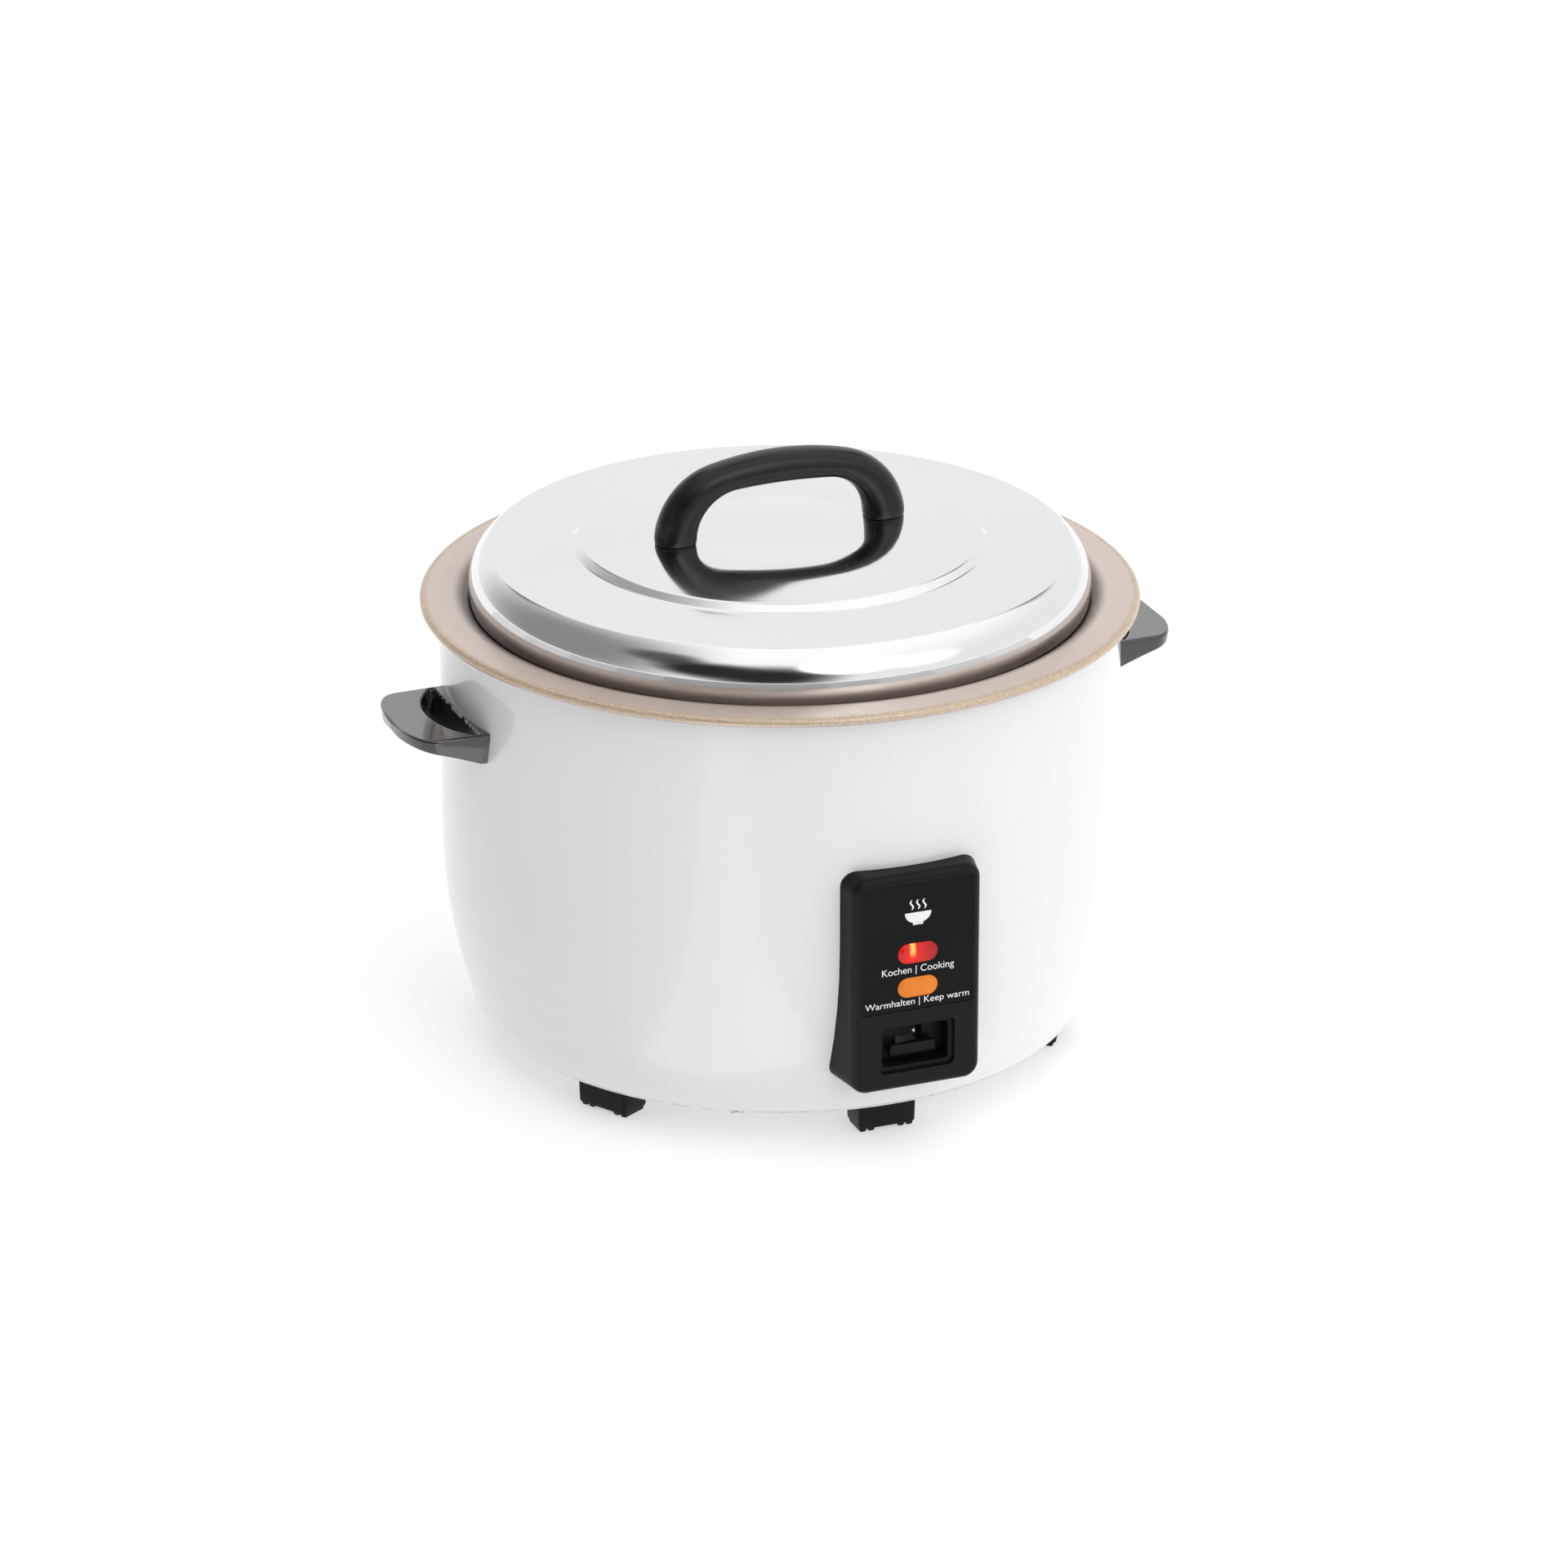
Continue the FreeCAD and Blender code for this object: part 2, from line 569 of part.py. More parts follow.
def lid_handle():
    """The arch, and at each foot a thin washer shaped like the lid, with a screw from under the lid."""
    floor = "arch_blank_floor"
    outer_arc = tangent_radius("arch_foot_outer - arch_bend_outer", f"arch_bend_outer_height - ({floor})",
                               "arch_bend_outer / arch_top_arc")
    inner_arc = tangent_radius("arch_foot_inner - arch_bend_inner", f"arch_bend_inner_height - ({floor})",
                               "arch_bend_inner / arch_grip_arc")
    arch = slab("XZ_Plane", [
        ("-arch_foot_outer", floor, outer_arc, "left"),
        ("-arch_foot_inner", floor),
        ("-arch_bend_inner", "arch_bend_inner_height", inner_arc, "right"),
        ("arch_bend_inner", "arch_bend_inner_height", "arch_grip_arc", "right"),
        ("arch_foot_inner", floor, inner_arc, "right"),
        ("arch_foot_outer", floor),
        ("arch_bend_outer", "arch_bend_outer_height", outer_arc, "left"),
        ("-arch_bend_outer", "arch_bend_outer_height", "arch_top_arc", "left"),
    ], "arch_width / 2", "arch_width")
    half_width = size("arch_width") / 2
    soft = rounded(arch, "arch_round", lambda edge: edge.BoundBox.ZLength > 1
                   and (is_level(edge, half_width, "y") or is_level(edge, -half_width, "y")))
    washers = []
    screws = []
    wells = []
    for side in (-1, 1):
        at = f"{side} * lid_screw_spacing"
        wells.append(cylinder(1.8, "lid_screw_length + 1", at, 0, "lid_screw_seat"))
        washers.append(cut(common(cylinder(8, 8, at, 0, "lid_top - 4"), lid_blank("washer_height")),
                           lid_blank("0"), cylinder(2.2, 8, at, 0, "lid_top - 4")))
        screws.append(fuse(cylinder(1.8, "lid_screw_length", at, 0, "lid_screw_seat"),
                           cylinder(4.5, 2, at, 0, "lid_screw_seat - 2")))
    part(cut(soft, lid_blank("washer_height"), *wells), "lid_handle")
    part(group(*washers), "lid_handle_washers")
    part(group(*screws), "lid_handle_screws")


# ---- Side handles ----

def side_handles():
    """Moulded grips at both sides: a wide thumb scoop by the wall, thin at the nose, narrower below."""
    plan = [
        ("grip_root", "-grip_root_half"),
        ("grip_side", "-grip_side_half"),
        ("grip_nose", "-grip_nose_half", "grip_corner_arc", "left"),
        ("grip_nose", "grip_nose_half", "grip_nose_arc", "left"),
        ("grip_side", "grip_side_half", "grip_corner_arc", "left"),
        ("grip_root", "grip_root_half"),
    ]
    scoop_start = "sqrt(scoop_inner^2 - scoop_half^2)"
    scoop_plan = [
        (scoop_start, "-scoop_half", "scoop_inner", "right"),
        ("scoop_side", "-scoop_half"),
        ("scoop_outer", "-scoop_nose_half", "scoop_arc", "left"),
        ("scoop_outer", "scoop_nose_half", 200, "left"),
        ("scoop_side", "scoop_half", "scoop_arc", "left"),
        (scoop_start, "scoop_half"),
    ]
    under = slab("XZ_Plane", [
        ("grip_root - 5", "grip_top - grip_depth - 20"),
        ("grip_reach + 10", "grip_top - grip_depth - 20"),
        ("grip_reach + 10", "grip_under_nose + 4"),
        ("grip_reach", "grip_under_nose"),
        ("shell_radius + 5", "grip_under_root"),
        ("grip_root - 5", "grip_under_root - 1"),
    ], 60, 120)
    drafts = [
        slab("YZ_Plane", [
            (f"{end} * (grip_root_half + 0.5)", "grip_top - 2"),
            (f"{end} * (grip_root_half + 9)", "grip_top - 2"),
            (f"{end} * (grip_root_half + 9)", "grip_top - grip_depth - 1"),
            (f"{end} * (grip_root_half - grip_draft)", "grip_top - grip_depth - 1"),
        ], "grip_reach + 6", 60)
        for end in (-1, 1)
    ]
    screws = []
    for side, name in ((1, "right"), (-1, "left")):
        blank = slab("XY_Plane", plan, "grip_top", "grip_depth")
        scoop = slab("XY_Plane", scoop_plan, "grip_top + 1", "scoop_depth + 1")
        shaped = cut(blank, under, scoop, *drafts)
        soft = rounded(shaped, 1.5, lambda edge: is_level(edge, size("grip_top"))
                       and edge.BoundBox.XMax > size("scoop_outer") + 3)
        wells = [
            cylinder(1.6, 15, "shell_radius - 5", f"{end} * grip_screw_half", "grip_screw_height",
                     ALONG_Y, 90)
            for end in (-1, 1)
        ]
        fitted = cut(soft, shell_blank(0.05), *wells)
        part(turned(fitted, 0 if side == 1 else 180), f"side_handle_{name}")
        for end in (-1, 1):
            y = f"{end} * grip_screw_half"
            start = "sqrt((shell_radius - shell_wall)^2 - (grip_screw_half + 3.5)^2) - 2"
            screw = fuse(cylinder(1.6, 16, start, y, "grip_screw_height", ALONG_Y, 90),
                         cylinder(3.5, 2, start, y, "grip_screw_height", ALONG_Y, 90))
            screws.append(turned(screw, 0 if side == 1 else 180))
    part(group(*screws), "side_handle_screws")


# ---- Control panel ----

POST_LEVELS = ("warm_lens_height - 8", "cook_lens_height + 8")


def stadium_slab(half, half_height, level, front, depth):
    return slab("XZ_Plane", stadium(half, half_height, level), front, depth)


def control_panel():
    """A hollow moulded cover that flares out to the housing, with its label, lenses and lever window."""
    def around(inset, front):
        """The panel's outline at a distance in front, wider towards the housing, drawn in by inset."""
        back_share = f"(panel_front - ({front})) / (panel_front - panel_back)"
        return rectangle(f"panel_half - ({inset}) + (panel_back_half - panel_half) * {back_share}",
                         f"panel_bottom + {inset} + (panel_back_bottom - panel_bottom) * {back_share}",
                         f"panel_top - ({inset}) + (panel_back_top - panel_top) * {back_share}",
                         f"panel_corner - ({inset})"), front

    outside = loft(around("panel_edge", "panel_front"),
                   around("panel_edge * (1 - sin(45))", "panel_front - panel_edge * (1 - sin(45))"),
                   around("0", "panel_front - panel_edge"),
                   around("0", "panel_back"))
    inside = loft(around("panel_wall", "panel_front - panel_wall"), around("panel_wall", "panel_back"))
    label_outline = ("label_half", "label_bottom", "label_top", "label_corner")
    label_seat = slab("XZ_Plane", rectangle(*label_outline), "panel_front + 1", "label_thick + 1")
    window = slab("XZ_Plane", rectangle("window_half + window_frame + fit_gap",
                                        "window_bottom - window_frame - fit_gap",
                                        "window_top + window_frame + fit_gap", "window_corner + 1"),
                  "panel_front + 1", 10)
    levels = ("cook_lens_height", "warm_lens_height")
    lens_holes = [
        stadium_slab("lens_half + fit_gap", "lens_half_height + fit_gap", level, "panel_front + 1", 10)
        for level in levels
    ]
    posts = [cylinder(3, "post_length + 0.5", 16, "-panel_front + panel_wall - 0.5", level, ALONG_X, -90)
             for level in POST_LEVELS]
    cover = cut(outside, inside, label_seat, window, *lens_holes, shell_blank(0.05))
    part(fuse(cover, *posts), "control_panel")
    label = slab("XZ_Plane", rectangle("label_half - fit_gap", "label_bottom + fit_gap",
                                       "label_top - fit_gap", "label_corner"), "panel_front", "label_thick")
    part(cut(label, *lens_holes), "panel_label")
    for name, level in zip(("cook", "warm"), levels):
        front = "panel_front + lens_proud"
        block = stadium_slab("lens_half", "lens_half_height", level, front, "lens_depth + lens_proud")
        hollow = stadium_slab("lens_half - lens_wall", "lens_half_height - lens_wall", level,
                              "panel_front - lens_wall", "lens_depth")
        part(cut(block, hollow), f"{name}_lens")
        part(cylinder("lamp_radius", "2 * lamp_half", "-lamp_half", "-panel_front + 6.5", level,
                      ALONG_Y, 90), f"{name}_lamp")


def lamp_board():
    """The strip behind the lenses that carries both lamps, screwed to the panel's posts."""
    board = box(-20, "-panel_front + post_length + panel_wall", "warm_lens_height - 12", 40, 1.6, 44)
    part(board, "lamp_board")
    screws = [
        cylinder(2.4, 1.5, 16, "-panel_front + post_length + panel_wall + 1.6", level, ALONG_X, -90)
        for level in POST_LEVELS
    ]
    part(group(*screws), "panel_screws")


def lever_window():
    """A sunk frame round the lever's window, with a dark well behind it and a slot for the lever."""
    frame = slab("XZ_Plane", rectangle("window_half + window_frame", "window_bottom - window_frame",
                                       "window_top + window_frame", "window_corner + 1"),
                 "panel_front - window_sunk", "window_depth")
    well = slab("XZ_Plane", rectangle("window_half", "window_bottom", "window_top", "window_corner"),
                "panel_front - window_sunk + 1", "window_depth - window_floor + 1")
    slot = box("-arm_half - 1.5", "-panel_front", "window_bottom + 2", "2 * arm_half + 3", 20,
               "window_top - window_bottom - 4")
    part(cut(frame, well, slot), "lever_window")


# ---- Cook lever ----

def cook_lever():
    """A bent steel arm on a pin: the paddle is in the window, and the far end lifts the magnet's rod."""
    half_sheet = "arm_sheet / 2"
    side_view = [
        ("-pivot_reach", f"arm_level - {half_sheet}"),
        ("arm_tip", f"arm_level - {half_sheet}"),
        ("arm_tip", f"arm_level + {half_sheet}"),
        ("-arm_rise_start", f"arm_level + {half_sheet}"),
        ("-arm_rise_end", f"arm_rise_level + {half_sheet}"),
        ("-arm_front", f"paddle_bottom + paddle_thick / 2 + {half_sheet}"),
        ("-arm_front", f"paddle_bottom + paddle_thick / 2 - {half_sheet}"),
        ("-arm_rise_end", f"arm_rise_level - {half_sheet}"),
        ("-arm_rise_start", f"arm_level - {half_sheet}"),
    ]
    arm = slab("YZ_Plane", side_view, "arm_half", "2 * arm_half")
    hub = cylinder("pin_radius + 2.5", "2 * arm_half", "-arm_half", "-pivot_reach", "arm_level",
                   ALONG_Y, 90)
    pin_hole = cylinder("pin_radius + 0.05", "2 * arm_half", "-arm_half", "-pivot_reach", "arm_level",
                        ALONG_Y, 90)
    fork = fuse(cylinder("rod_radius + 1.5", 10, 0, 0, "arm_level - 5"),
                box("-rod_radius - 1.5", 0, "arm_level - 5", "2 * rod_radius + 3", "arm_tip + 2", 10))
    part(cut(fuse(arm, hub), pin_hole, fork), "cook_lever")
    block = box("-paddle_half", "-paddle_front", "paddle_bottom", "2 * paddle_half",
                "paddle_front - paddle_back", "paddle_thick")
    front = -size("paddle_front")
    soft = rounded(block, 1, lambda edge: is_level(edge, front, "y"))
    part(cut(soft, arm), "lever_paddle")
    part(cylinder("pin_radius", "2 * arm_half + 6", "-arm_half - 3", "-pivot_reach", "arm_level",
                  ALONG_Y, 90), "lever_pin")


def switch_bracket():
    """Two ears that hang from the heat shield and hold the lever's pin, and a shelf for the microswitch."""
    ear_low = "arm_level - pin_radius - 2.5"
    ears = [
        cut(box(start, "-pivot_reach - 7", ear_low, 1.2, 14, f"shield_level - ({ear_low})"),
            cylinder("pin_radius", 30, -15, "-pivot_reach", "arm_level", ALONG_Y, 90))
        for start in ("-arm_half - 1.9", "arm_half + 0.7")
    ]
    bridge = box("-arm_half - 9", "-pivot_reach - 7", "shield_level - 1.2", "2 * arm_half + 18", 14, 1.2)
    hanger = box("arm_half + 0.7", "-pivot_reach + 7", "arm_level - 22", 1.2, 26,
                 "shield_level - arm_level + 22")
    part(fuse(*ears, bridge, hanger), "switch_bracket")


def microswitch():
    """The switch that the lever works, fixed to the bracket, with a button that the arm pushes down."""
    top = "arm_level - arm_sheet / 2 - 3"
    case = box("-arm_half + 1", "-pivot_reach + 10", f"{top} - 15", "2 * arm_half - 0.3", 20, 15)
    guide = cylinder(1.6, 6, 0, "-pivot_reach + switch_reach", f"{top} - 5")
    part(cut(case, guide), "microswitch")
    part(cylinder(1.5, "2.7 + 1.5", 0, "-pivot_reach + switch_reach", f"{top} - 1.5"), "switch_button")
    tabs = [box(-2, f"-pivot_reach + {at}", f"{top} - 21", 4, 0.8, 6) for at in (12, 19, 27)]
    part(group(*tabs), "switch_terminals")


# ---- Thermostat ----

def thermostat():
    """A sprung cup that feels the pot's floor, with a magnet below a ferrite disc that lets go when hot."""
    inner = "sensor_radius - sensor_wall"
    part(revolved([
        (0, "sensor_top - sensor_cap"),
        (inner, "sensor_top - sensor_cap"),
        (inner, "sensor_bottom"),
        ("sensor_radius", "sensor_bottom"),
        ("sensor_radius", "sensor_top - 1"),
        ("sensor_radius - 1", "sensor_top", 1, "left"),
        (0, "sensor_top"),
    ]), "sensor_cup")
    ferrite_low = "sensor_top - sensor_cap - ferrite_thick"
    part(cylinder("ferrite_radius", "ferrite_thick", 0, 0, ferrite_low), "ferrite_disc")
    magnet_low = f"{ferrite_low} - 0.3 - magnet_thick"
    part(cut(cylinder("ferrite_radius", "magnet_thick", 0, 0, magnet_low),
             cylinder("rod_radius", "magnet_thick", 0, 0, magnet_low)), "magnet")
    keeper = cylinder("keeper_radius", "keeper_thick", 0, 0, f"{magnet_low} - keeper_thick")
    rod = cylinder("rod_radius", f"{magnet_low} + magnet_thick - rod_bottom", 0, 0, "rod_bottom")
    collar = cylinder("collar_radius", "collar_thick", 0, 0, "collar_bottom")
    part(fuse(keeper, rod, collar), "magnet_rod")
    tube = revolved([
        ("collar_hole", "sleeve_floor"),
        ("sleeve_flange", "sleeve_floor"),
        ("sleeve_flange", "sleeve_floor + sleeve_wall"),
        ("sleeve_radius + sleeve_wall", "sleeve_floor + sleeve_wall"),
        ("sleeve_radius + sleeve_wall", "sleeve_top"),
        ("sleeve_radius", "sleeve_top"),
        ("sleeve_radius", "sleeve_floor + sleeve_wall"),
        ("collar_hole", "sleeve_floor + sleeve_wall"),
    ])
    part(tube, "sensor_sleeve")
    floor = size("sleeve_floor + sleeve_wall")
    part(spring(size("sensor_radius - sensor_wall / 2 - 0.1"), 0.6, floor, size("sensor_bottom"), 3),
         "sensor_spring")
    part(spring(size("(ferrite_radius + sensor_radius - sensor_wall) / 2"), 0.5, size(magnet_low),
                size("sensor_top - sensor_cap"), 4), "magnet_spring")


# ---- Heating plate ----

def pan_screw(length, x, y, z):
    """A 4 mm screw that points up from z, with its head below."""
    return fuse(cylinder(2, length, x, y, z), cylinder(3.8, 2.2, x, y, f"{z} - 2.2"))


def heating_plate():
    """A cast plate with a groove below for the tubular element, on three standoffs from the liner's floor."""
    plate = revolved([
        ("plate_hole", "plate_bottom"),
        ("element_ring - element_radius - 0.1", "plate_bottom"),
        ("element_ring", "plate_bottom + element_radius + 0.1", "element_radius + 0.1", "right"),
        ("element_ring + element_radius + 0.1", "plate_bottom", "element_radius + 0.1", "right"),
        ("plate_radius - plate_edge", "plate_bottom"),
        ("plate_radius", "plate_bottom + plate_edge"),
        ("plate_radius", "plate_top - plate_edge"),
        ("plate_radius - plate_edge", "plate_top", "plate_edge", "left"),
        ("plate_hole + 1", "plate_top"),
        ("plate_hole", "plate_top - 1"),
    ])
    ring = standoff_places()
    wells = [cylinder(2, 7, *at, "plate_bottom - 1") for at in ring]
    part(cut(plate, *wells), "heating_plate")
    low = "liner_floor + liner_wall"
    standoffs = [cut(cylinder("standoff_radius", f"plate_bottom - ({low})", *at, low),
                     cylinder(2, 20, *at, "liner_floor - 5")) for at in ring]
    part(group(*standoffs), "plate_standoffs")
    return [pan_screw("plate_bottom + 5 - liner_floor", *at, "liner_floor") for at in ring]


def heating_element():
    """A sheathed tube bent to an open ring, with both cold ends turned down, and a terminal pin at each."""
    gap = 14
    ring = size("element_ring")
    level = size("plate_bottom")
    drop = size("element_drop")
    tube_radius = size("element_radius")

    def at(angle, z):
        turn = math.radians(angle)
        return FreeCAD.Vector(ring * math.cos(turn), ring * math.sin(turn), z)

    bend = 2 * tube_radius
    arc = Part.Arc(at(90 + gap, level), at(270, level), at(90 - gap, level)).toShape()
    section = Part.Wire(Part.makeCircle(tube_radius, arc.valueAt(arc.FirstParameter),
                                        arc.tangentAt(arc.FirstParameter)))
    tube = Part.Wire([arc]).makePipeShell([section], True, True)
    solids = [tube]
    for end in (90 + gap, 90 - gap):
        knuckle = Part.makeSphere(tube_radius, at(end, level))
        leg = Part.makeCylinder(tube_radius, drop, at(end, level - drop))
        solids.append(knuckle)
        solids.append(leg)
    piece = doc.addObject("Part::Feature", "element")
    piece.Shape = tube.fuse(solids[1:]).removeSplitter()
    part(piece, "heating_element")
    pins = []
    for end in (90 + gap, 90 - gap):
        pin = doc.addObject("Part::Feature", "pin")
        pin.Shape = Part.makeCylinder(tube_radius / 3, bend, at(end, level - drop - bend))
        pins.append(pin)
    part(group(*pins), "element_terminals")


def heat_shield():
    """A reflector below the liner, on three spacers, that carries the lever's bracket and the fuse."""
    disc = cylinder("shield_radius", "shield_thick", 0, 0, "shield_level")
    centre = cylinder("collar_hole", 5, 0, 0, "shield_level - 2")
    passage = box("-element_ring * 0.35", "element_ring - 12", "shield_level - 2",
                  "element_ring * 0.7", 24, 5)
    ring = spacer_places()
    holes = [cylinder(2, 5, *at, "shield_level - 2") for at in ring]
    part(cut(disc, centre, passage, *holes), "heat_shield")
    low = "shield_level + shield_thick"
    spacers = [cut(cylinder(4.5, f"liner_floor - ({low})", *at, low), cylinder(2, 9, *at, "shield_level"))
               for at in ring]
    part(group(*spacers), "shield_spacers")
    return [pan_screw("liner_floor - shield_level + 1", *at, "shield_level") for at in ring]


def thermal_fuse():
    """A one-shot fuse under the shield, held by a strap."""
    y = "shield_radius / 2 - 24"
    part(cylinder(2.5, 14, 45, y, "shield_level - 2.6", ALONG_Y, 90), "thermal_fuse")
    strap = cut(box(49, f"{y} - 3.6", "shield_level - 5.4", 6, 7.2, 5.4),
                cylinder(2.55, 30, 40, y, "shield_level - 2.6", ALONG_Y, 90),
                box(48, f"{y} - 2.55", "shield_level - 2.6", 8, 5.1, 4))
    part(strap, "fuse_strap")


def warm_band():
    """The keep-warm heater: a thin band round the liner's wall."""
    part(revolved([
        ("liner_radius + liner_wall + 0.05", "liner_floor + 30"),
        ("liner_radius + liner_wall + 1.6", "liner_floor + 30"),
        ("liner_radius + liner_wall + 1.6", "liner_floor + 54"),
        ("liner_radius + liner_wall + 0.05", "liner_floor + 54"),
    ]), "warm_band_heater")


# ---- Appliance inlet and wiring ----

def inlet():
    """The socket for the lead at the back: a moulded boss, a deep recess, three pins and two screws."""
    boss = slab("XZ_Plane", rectangle("inlet_half", "inlet_bottom", "inlet_top", "inlet_corner"),
                "-inlet_face + 22", 22)
    trimmed = cut(boss, shell_blank(0.05))
    core = box("-socket_half - socket_wall", "inlet_face - socket_depth - socket_wall - 2",
               "socket_bottom - socket_wall", "2 * socket_half + 2 * socket_wall",
               "socket_depth + socket_wall + 1", "socket_top - socket_bottom + 2 * socket_wall")
    well = box("-socket_half", "inlet_face - socket_depth", "socket_bottom", "2 * socket_half",
               "socket_depth + 5", "socket_top - socket_bottom")
    pins = [
        box(f"{x} - 1", "inlet_face - socket_depth - 8", f"{z} - 2", 2, "socket_depth + 4", 4)
        for x, z in ((-7, "socket_bottom + 6"), (7, "socket_bottom + 6"), (0, "socket_bottom + 11"))
    ]
    part(cut(fuse(trimmed, core), well, *pins), "inlet_socket")
    part(group(*pins), "inlet_pins")
    screws = [
        cylinder(3, 1.6, f"{side} * (inlet_half - 5.5)", "inlet_face", "(inlet_bottom + inlet_top) / 2",
                 ALONG_X, -90)
        for side in (-1, 1)
    ]
    part(group(*screws), "inlet_screws")


def terminal_block():
    """A ceramic block on the base plate where the wires meet."""
    base = "base_bottom + base_thick"
    block = box(-24, 104, base, 48, 18, 14)
    wells = [cylinder(3, 12, x, 113, f"{base} + 9") for x in (-16, 0, 16)]
    part(cut(block, *wells), "terminal_block")
    part(group(*[cylinder(2.9, 3, x, 113, f"{base} + 9") for x in (-16, 0, 16)]), "terminal_screws")


def inlet_wires():
    """The three insulated wires from the inlet's pins to the terminal block."""
    pin_end = size("inlet_face - socket_depth - 8")
    low_pin = size("socket_bottom + 6")
    high_pin = size("socket_bottom + 11")
    block_back = 122
    entry = size("base_bottom + base_thick") + 6
    for name, x_pin, z_pin, x_block in (
        ("live_wire", -7, low_pin, -16),
        ("neutral_wire", 7, low_pin, 16),
        ("earth_wire", 0, high_pin, 0),
    ):
        x_between = (x_pin + x_block) / 2
        part(wire(1.4, (x_pin, pin_end, z_pin), (x_pin, pin_end - 11, z_pin),
                  (x_between, block_back + 12, (z_pin + entry) / 2 + 1),
                  (x_block, block_back + 7, entry), (x_block, block_back, entry)), name)


def write_parts():
    """Checks every object of the document, then writes each sub-part to its own file."""
    doc.recompute()
    failed = [piece.Name for piece in doc.Objects if {"Invalid", "Error"} & set(piece.State)]
    failed += [piece.Label for piece in PARTS if piece.Shape.isNull() or not piece.Shape.isValid()]
    if failed:
        raise RuntimeError(f"These did not build: {failed}")
    os.makedirs("parts", exist_ok=True)
    for piece in PARTS:
        piece.Shape.exportStep(f"parts/{piece.Label}.step")
        print(piece.Label, len(piece.Shape.Solids), round(piece.Shape.Volume))


housing_shell()
inner_liner()
base_plate()
feet()
inner_pot()
lid()
lid_handle()
side_handles()
control_panel()
lamp_board()
lever_window()
cook_lever()
switch_bracket()
microswitch()
thermostat()
chassis_screws = heating_plate()
heating_element()
chassis_screws += heat_shield()
part(group(*chassis_screws), "chassis_screws")
thermal_fuse()
warm_band()
inlet()
terminal_block()
inlet_wires()
write_parts()
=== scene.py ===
import math

import bpy
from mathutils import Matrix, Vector
from mathutils.geometry import delaunay_2d_cdt


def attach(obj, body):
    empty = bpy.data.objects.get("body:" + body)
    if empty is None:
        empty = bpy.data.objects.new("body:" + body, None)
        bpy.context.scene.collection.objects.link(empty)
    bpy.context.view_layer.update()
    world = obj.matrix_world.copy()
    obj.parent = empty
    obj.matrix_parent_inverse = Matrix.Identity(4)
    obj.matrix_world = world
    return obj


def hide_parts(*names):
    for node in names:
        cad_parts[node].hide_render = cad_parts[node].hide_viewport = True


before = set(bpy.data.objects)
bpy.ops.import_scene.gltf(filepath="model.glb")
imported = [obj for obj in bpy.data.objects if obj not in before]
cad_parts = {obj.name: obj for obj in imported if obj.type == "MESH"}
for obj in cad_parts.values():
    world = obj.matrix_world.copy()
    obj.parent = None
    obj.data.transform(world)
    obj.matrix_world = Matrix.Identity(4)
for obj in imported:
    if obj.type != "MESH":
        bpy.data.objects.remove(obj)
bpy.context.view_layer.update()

MM = 0.001
TURN = 2 * math.pi
SEGMENTS = 288


# ---- Outlines, in millimetres ----

def arc(start, end, radius, turn, step=4.0):
    """The points after start, up to end, on an arc that bends left or right."""
    start, end = Vector(start), Vector(end)
    chord = end - start
    reach = math.sqrt(max(radius**2 - (chord.length / 2) ** 2, 0))
    left = Vector((-chord.y, chord.x)).normalized()
    sign = 1 if turn == "left" else -1
    centre = (start + end) / 2 + left * reach * sign
    first = math.atan2(start.y - centre.y, start.x - centre.x)
    last = math.atan2(end.y - centre.y, end.x - centre.x)
    sweep = (last - first) * sign % TURN * sign
    count = max(3, math.ceil(abs(math.degrees(sweep)) / step))
    return [
        (centre.x + radius * math.cos(first + sweep * i / count),
         centre.y + radius * math.sin(first + sweep * i / count))
        for i in range(1, count + 1)
    ]


def traced(corners, closed=False):
    """An outline's points. A corner is (x, y), or (x, y, radius, turn) where an arc arrives at it."""
    points = []
    for i, corner in enumerate(corners):
        if len(corner) == 4:
            before = points[-1] if points else corners[-1][:2]
            points += arc(before, corner[:2], corner[2], corner[3])
        elif points or not closed or i == 0:
            points.append(tuple(corner))
    return points


def softened(points, radius, least=12):
    """The outline with each corner of at least least degrees turned into a small round one."""
    made = [tuple(points[0])]
    for before, at, after in zip(points, points[1:], points[2:]):
        before, at, after = Vector(before), Vector(at), Vector(after)
        arriving, leaving = at - before, after - at
        if min(arriving.length, leaving.length) < 1e-6:
            continue
        if math.degrees(arriving.angle(leaving)) < least:
            made.append(tuple(at))
            continue
        trim = min(radius, 0.45 * arriving.length, 0.45 * leaving.length)
        start, end = at - arriving.normalized() * trim, at + leaving.normalized() * trim
        for t in (0, 0.25, 0.5, 0.75, 1):
            made.append(tuple(start * (1 - t) ** 2 + at * (2 * t * (1 - t)) + end * t**2))
    made.append(tuple(points[-1]))
    return made


def supported(points, reach=0.6):
    """The outline with a point near both ends of each long run, so that flats shade flat."""
    made = []
    for start, end in zip(points, points[1:]):
        start, end = Vector(start), Vector(end)
        length = (end - start).length
        made.append(tuple(start))
        if length > 4 * reach:
            made.append(tuple(start.lerp(end, reach / length)))
            for i in range(1, int(length // 12)):
                made.append(tuple(start.lerp(end, i / (length // 12))))
            made.append(tuple(end.lerp(start, reach / length)))
    made.append(tuple(points[-1]))
    return made


def rectangle(half, low, high, corner):
    """A rectangle with rounded corners, centred across and from low to high."""
    return traced([
        (-half + corner, low, corner, "left"), (half - corner, low), (half, low + corner, corner, "left"),
        (half, high - corner), (half - corner, high, corner, "left"), (-half + corner, high),
        (-half, high - corner, corner, "left"), (-half, low + corner),
    ], closed=True)


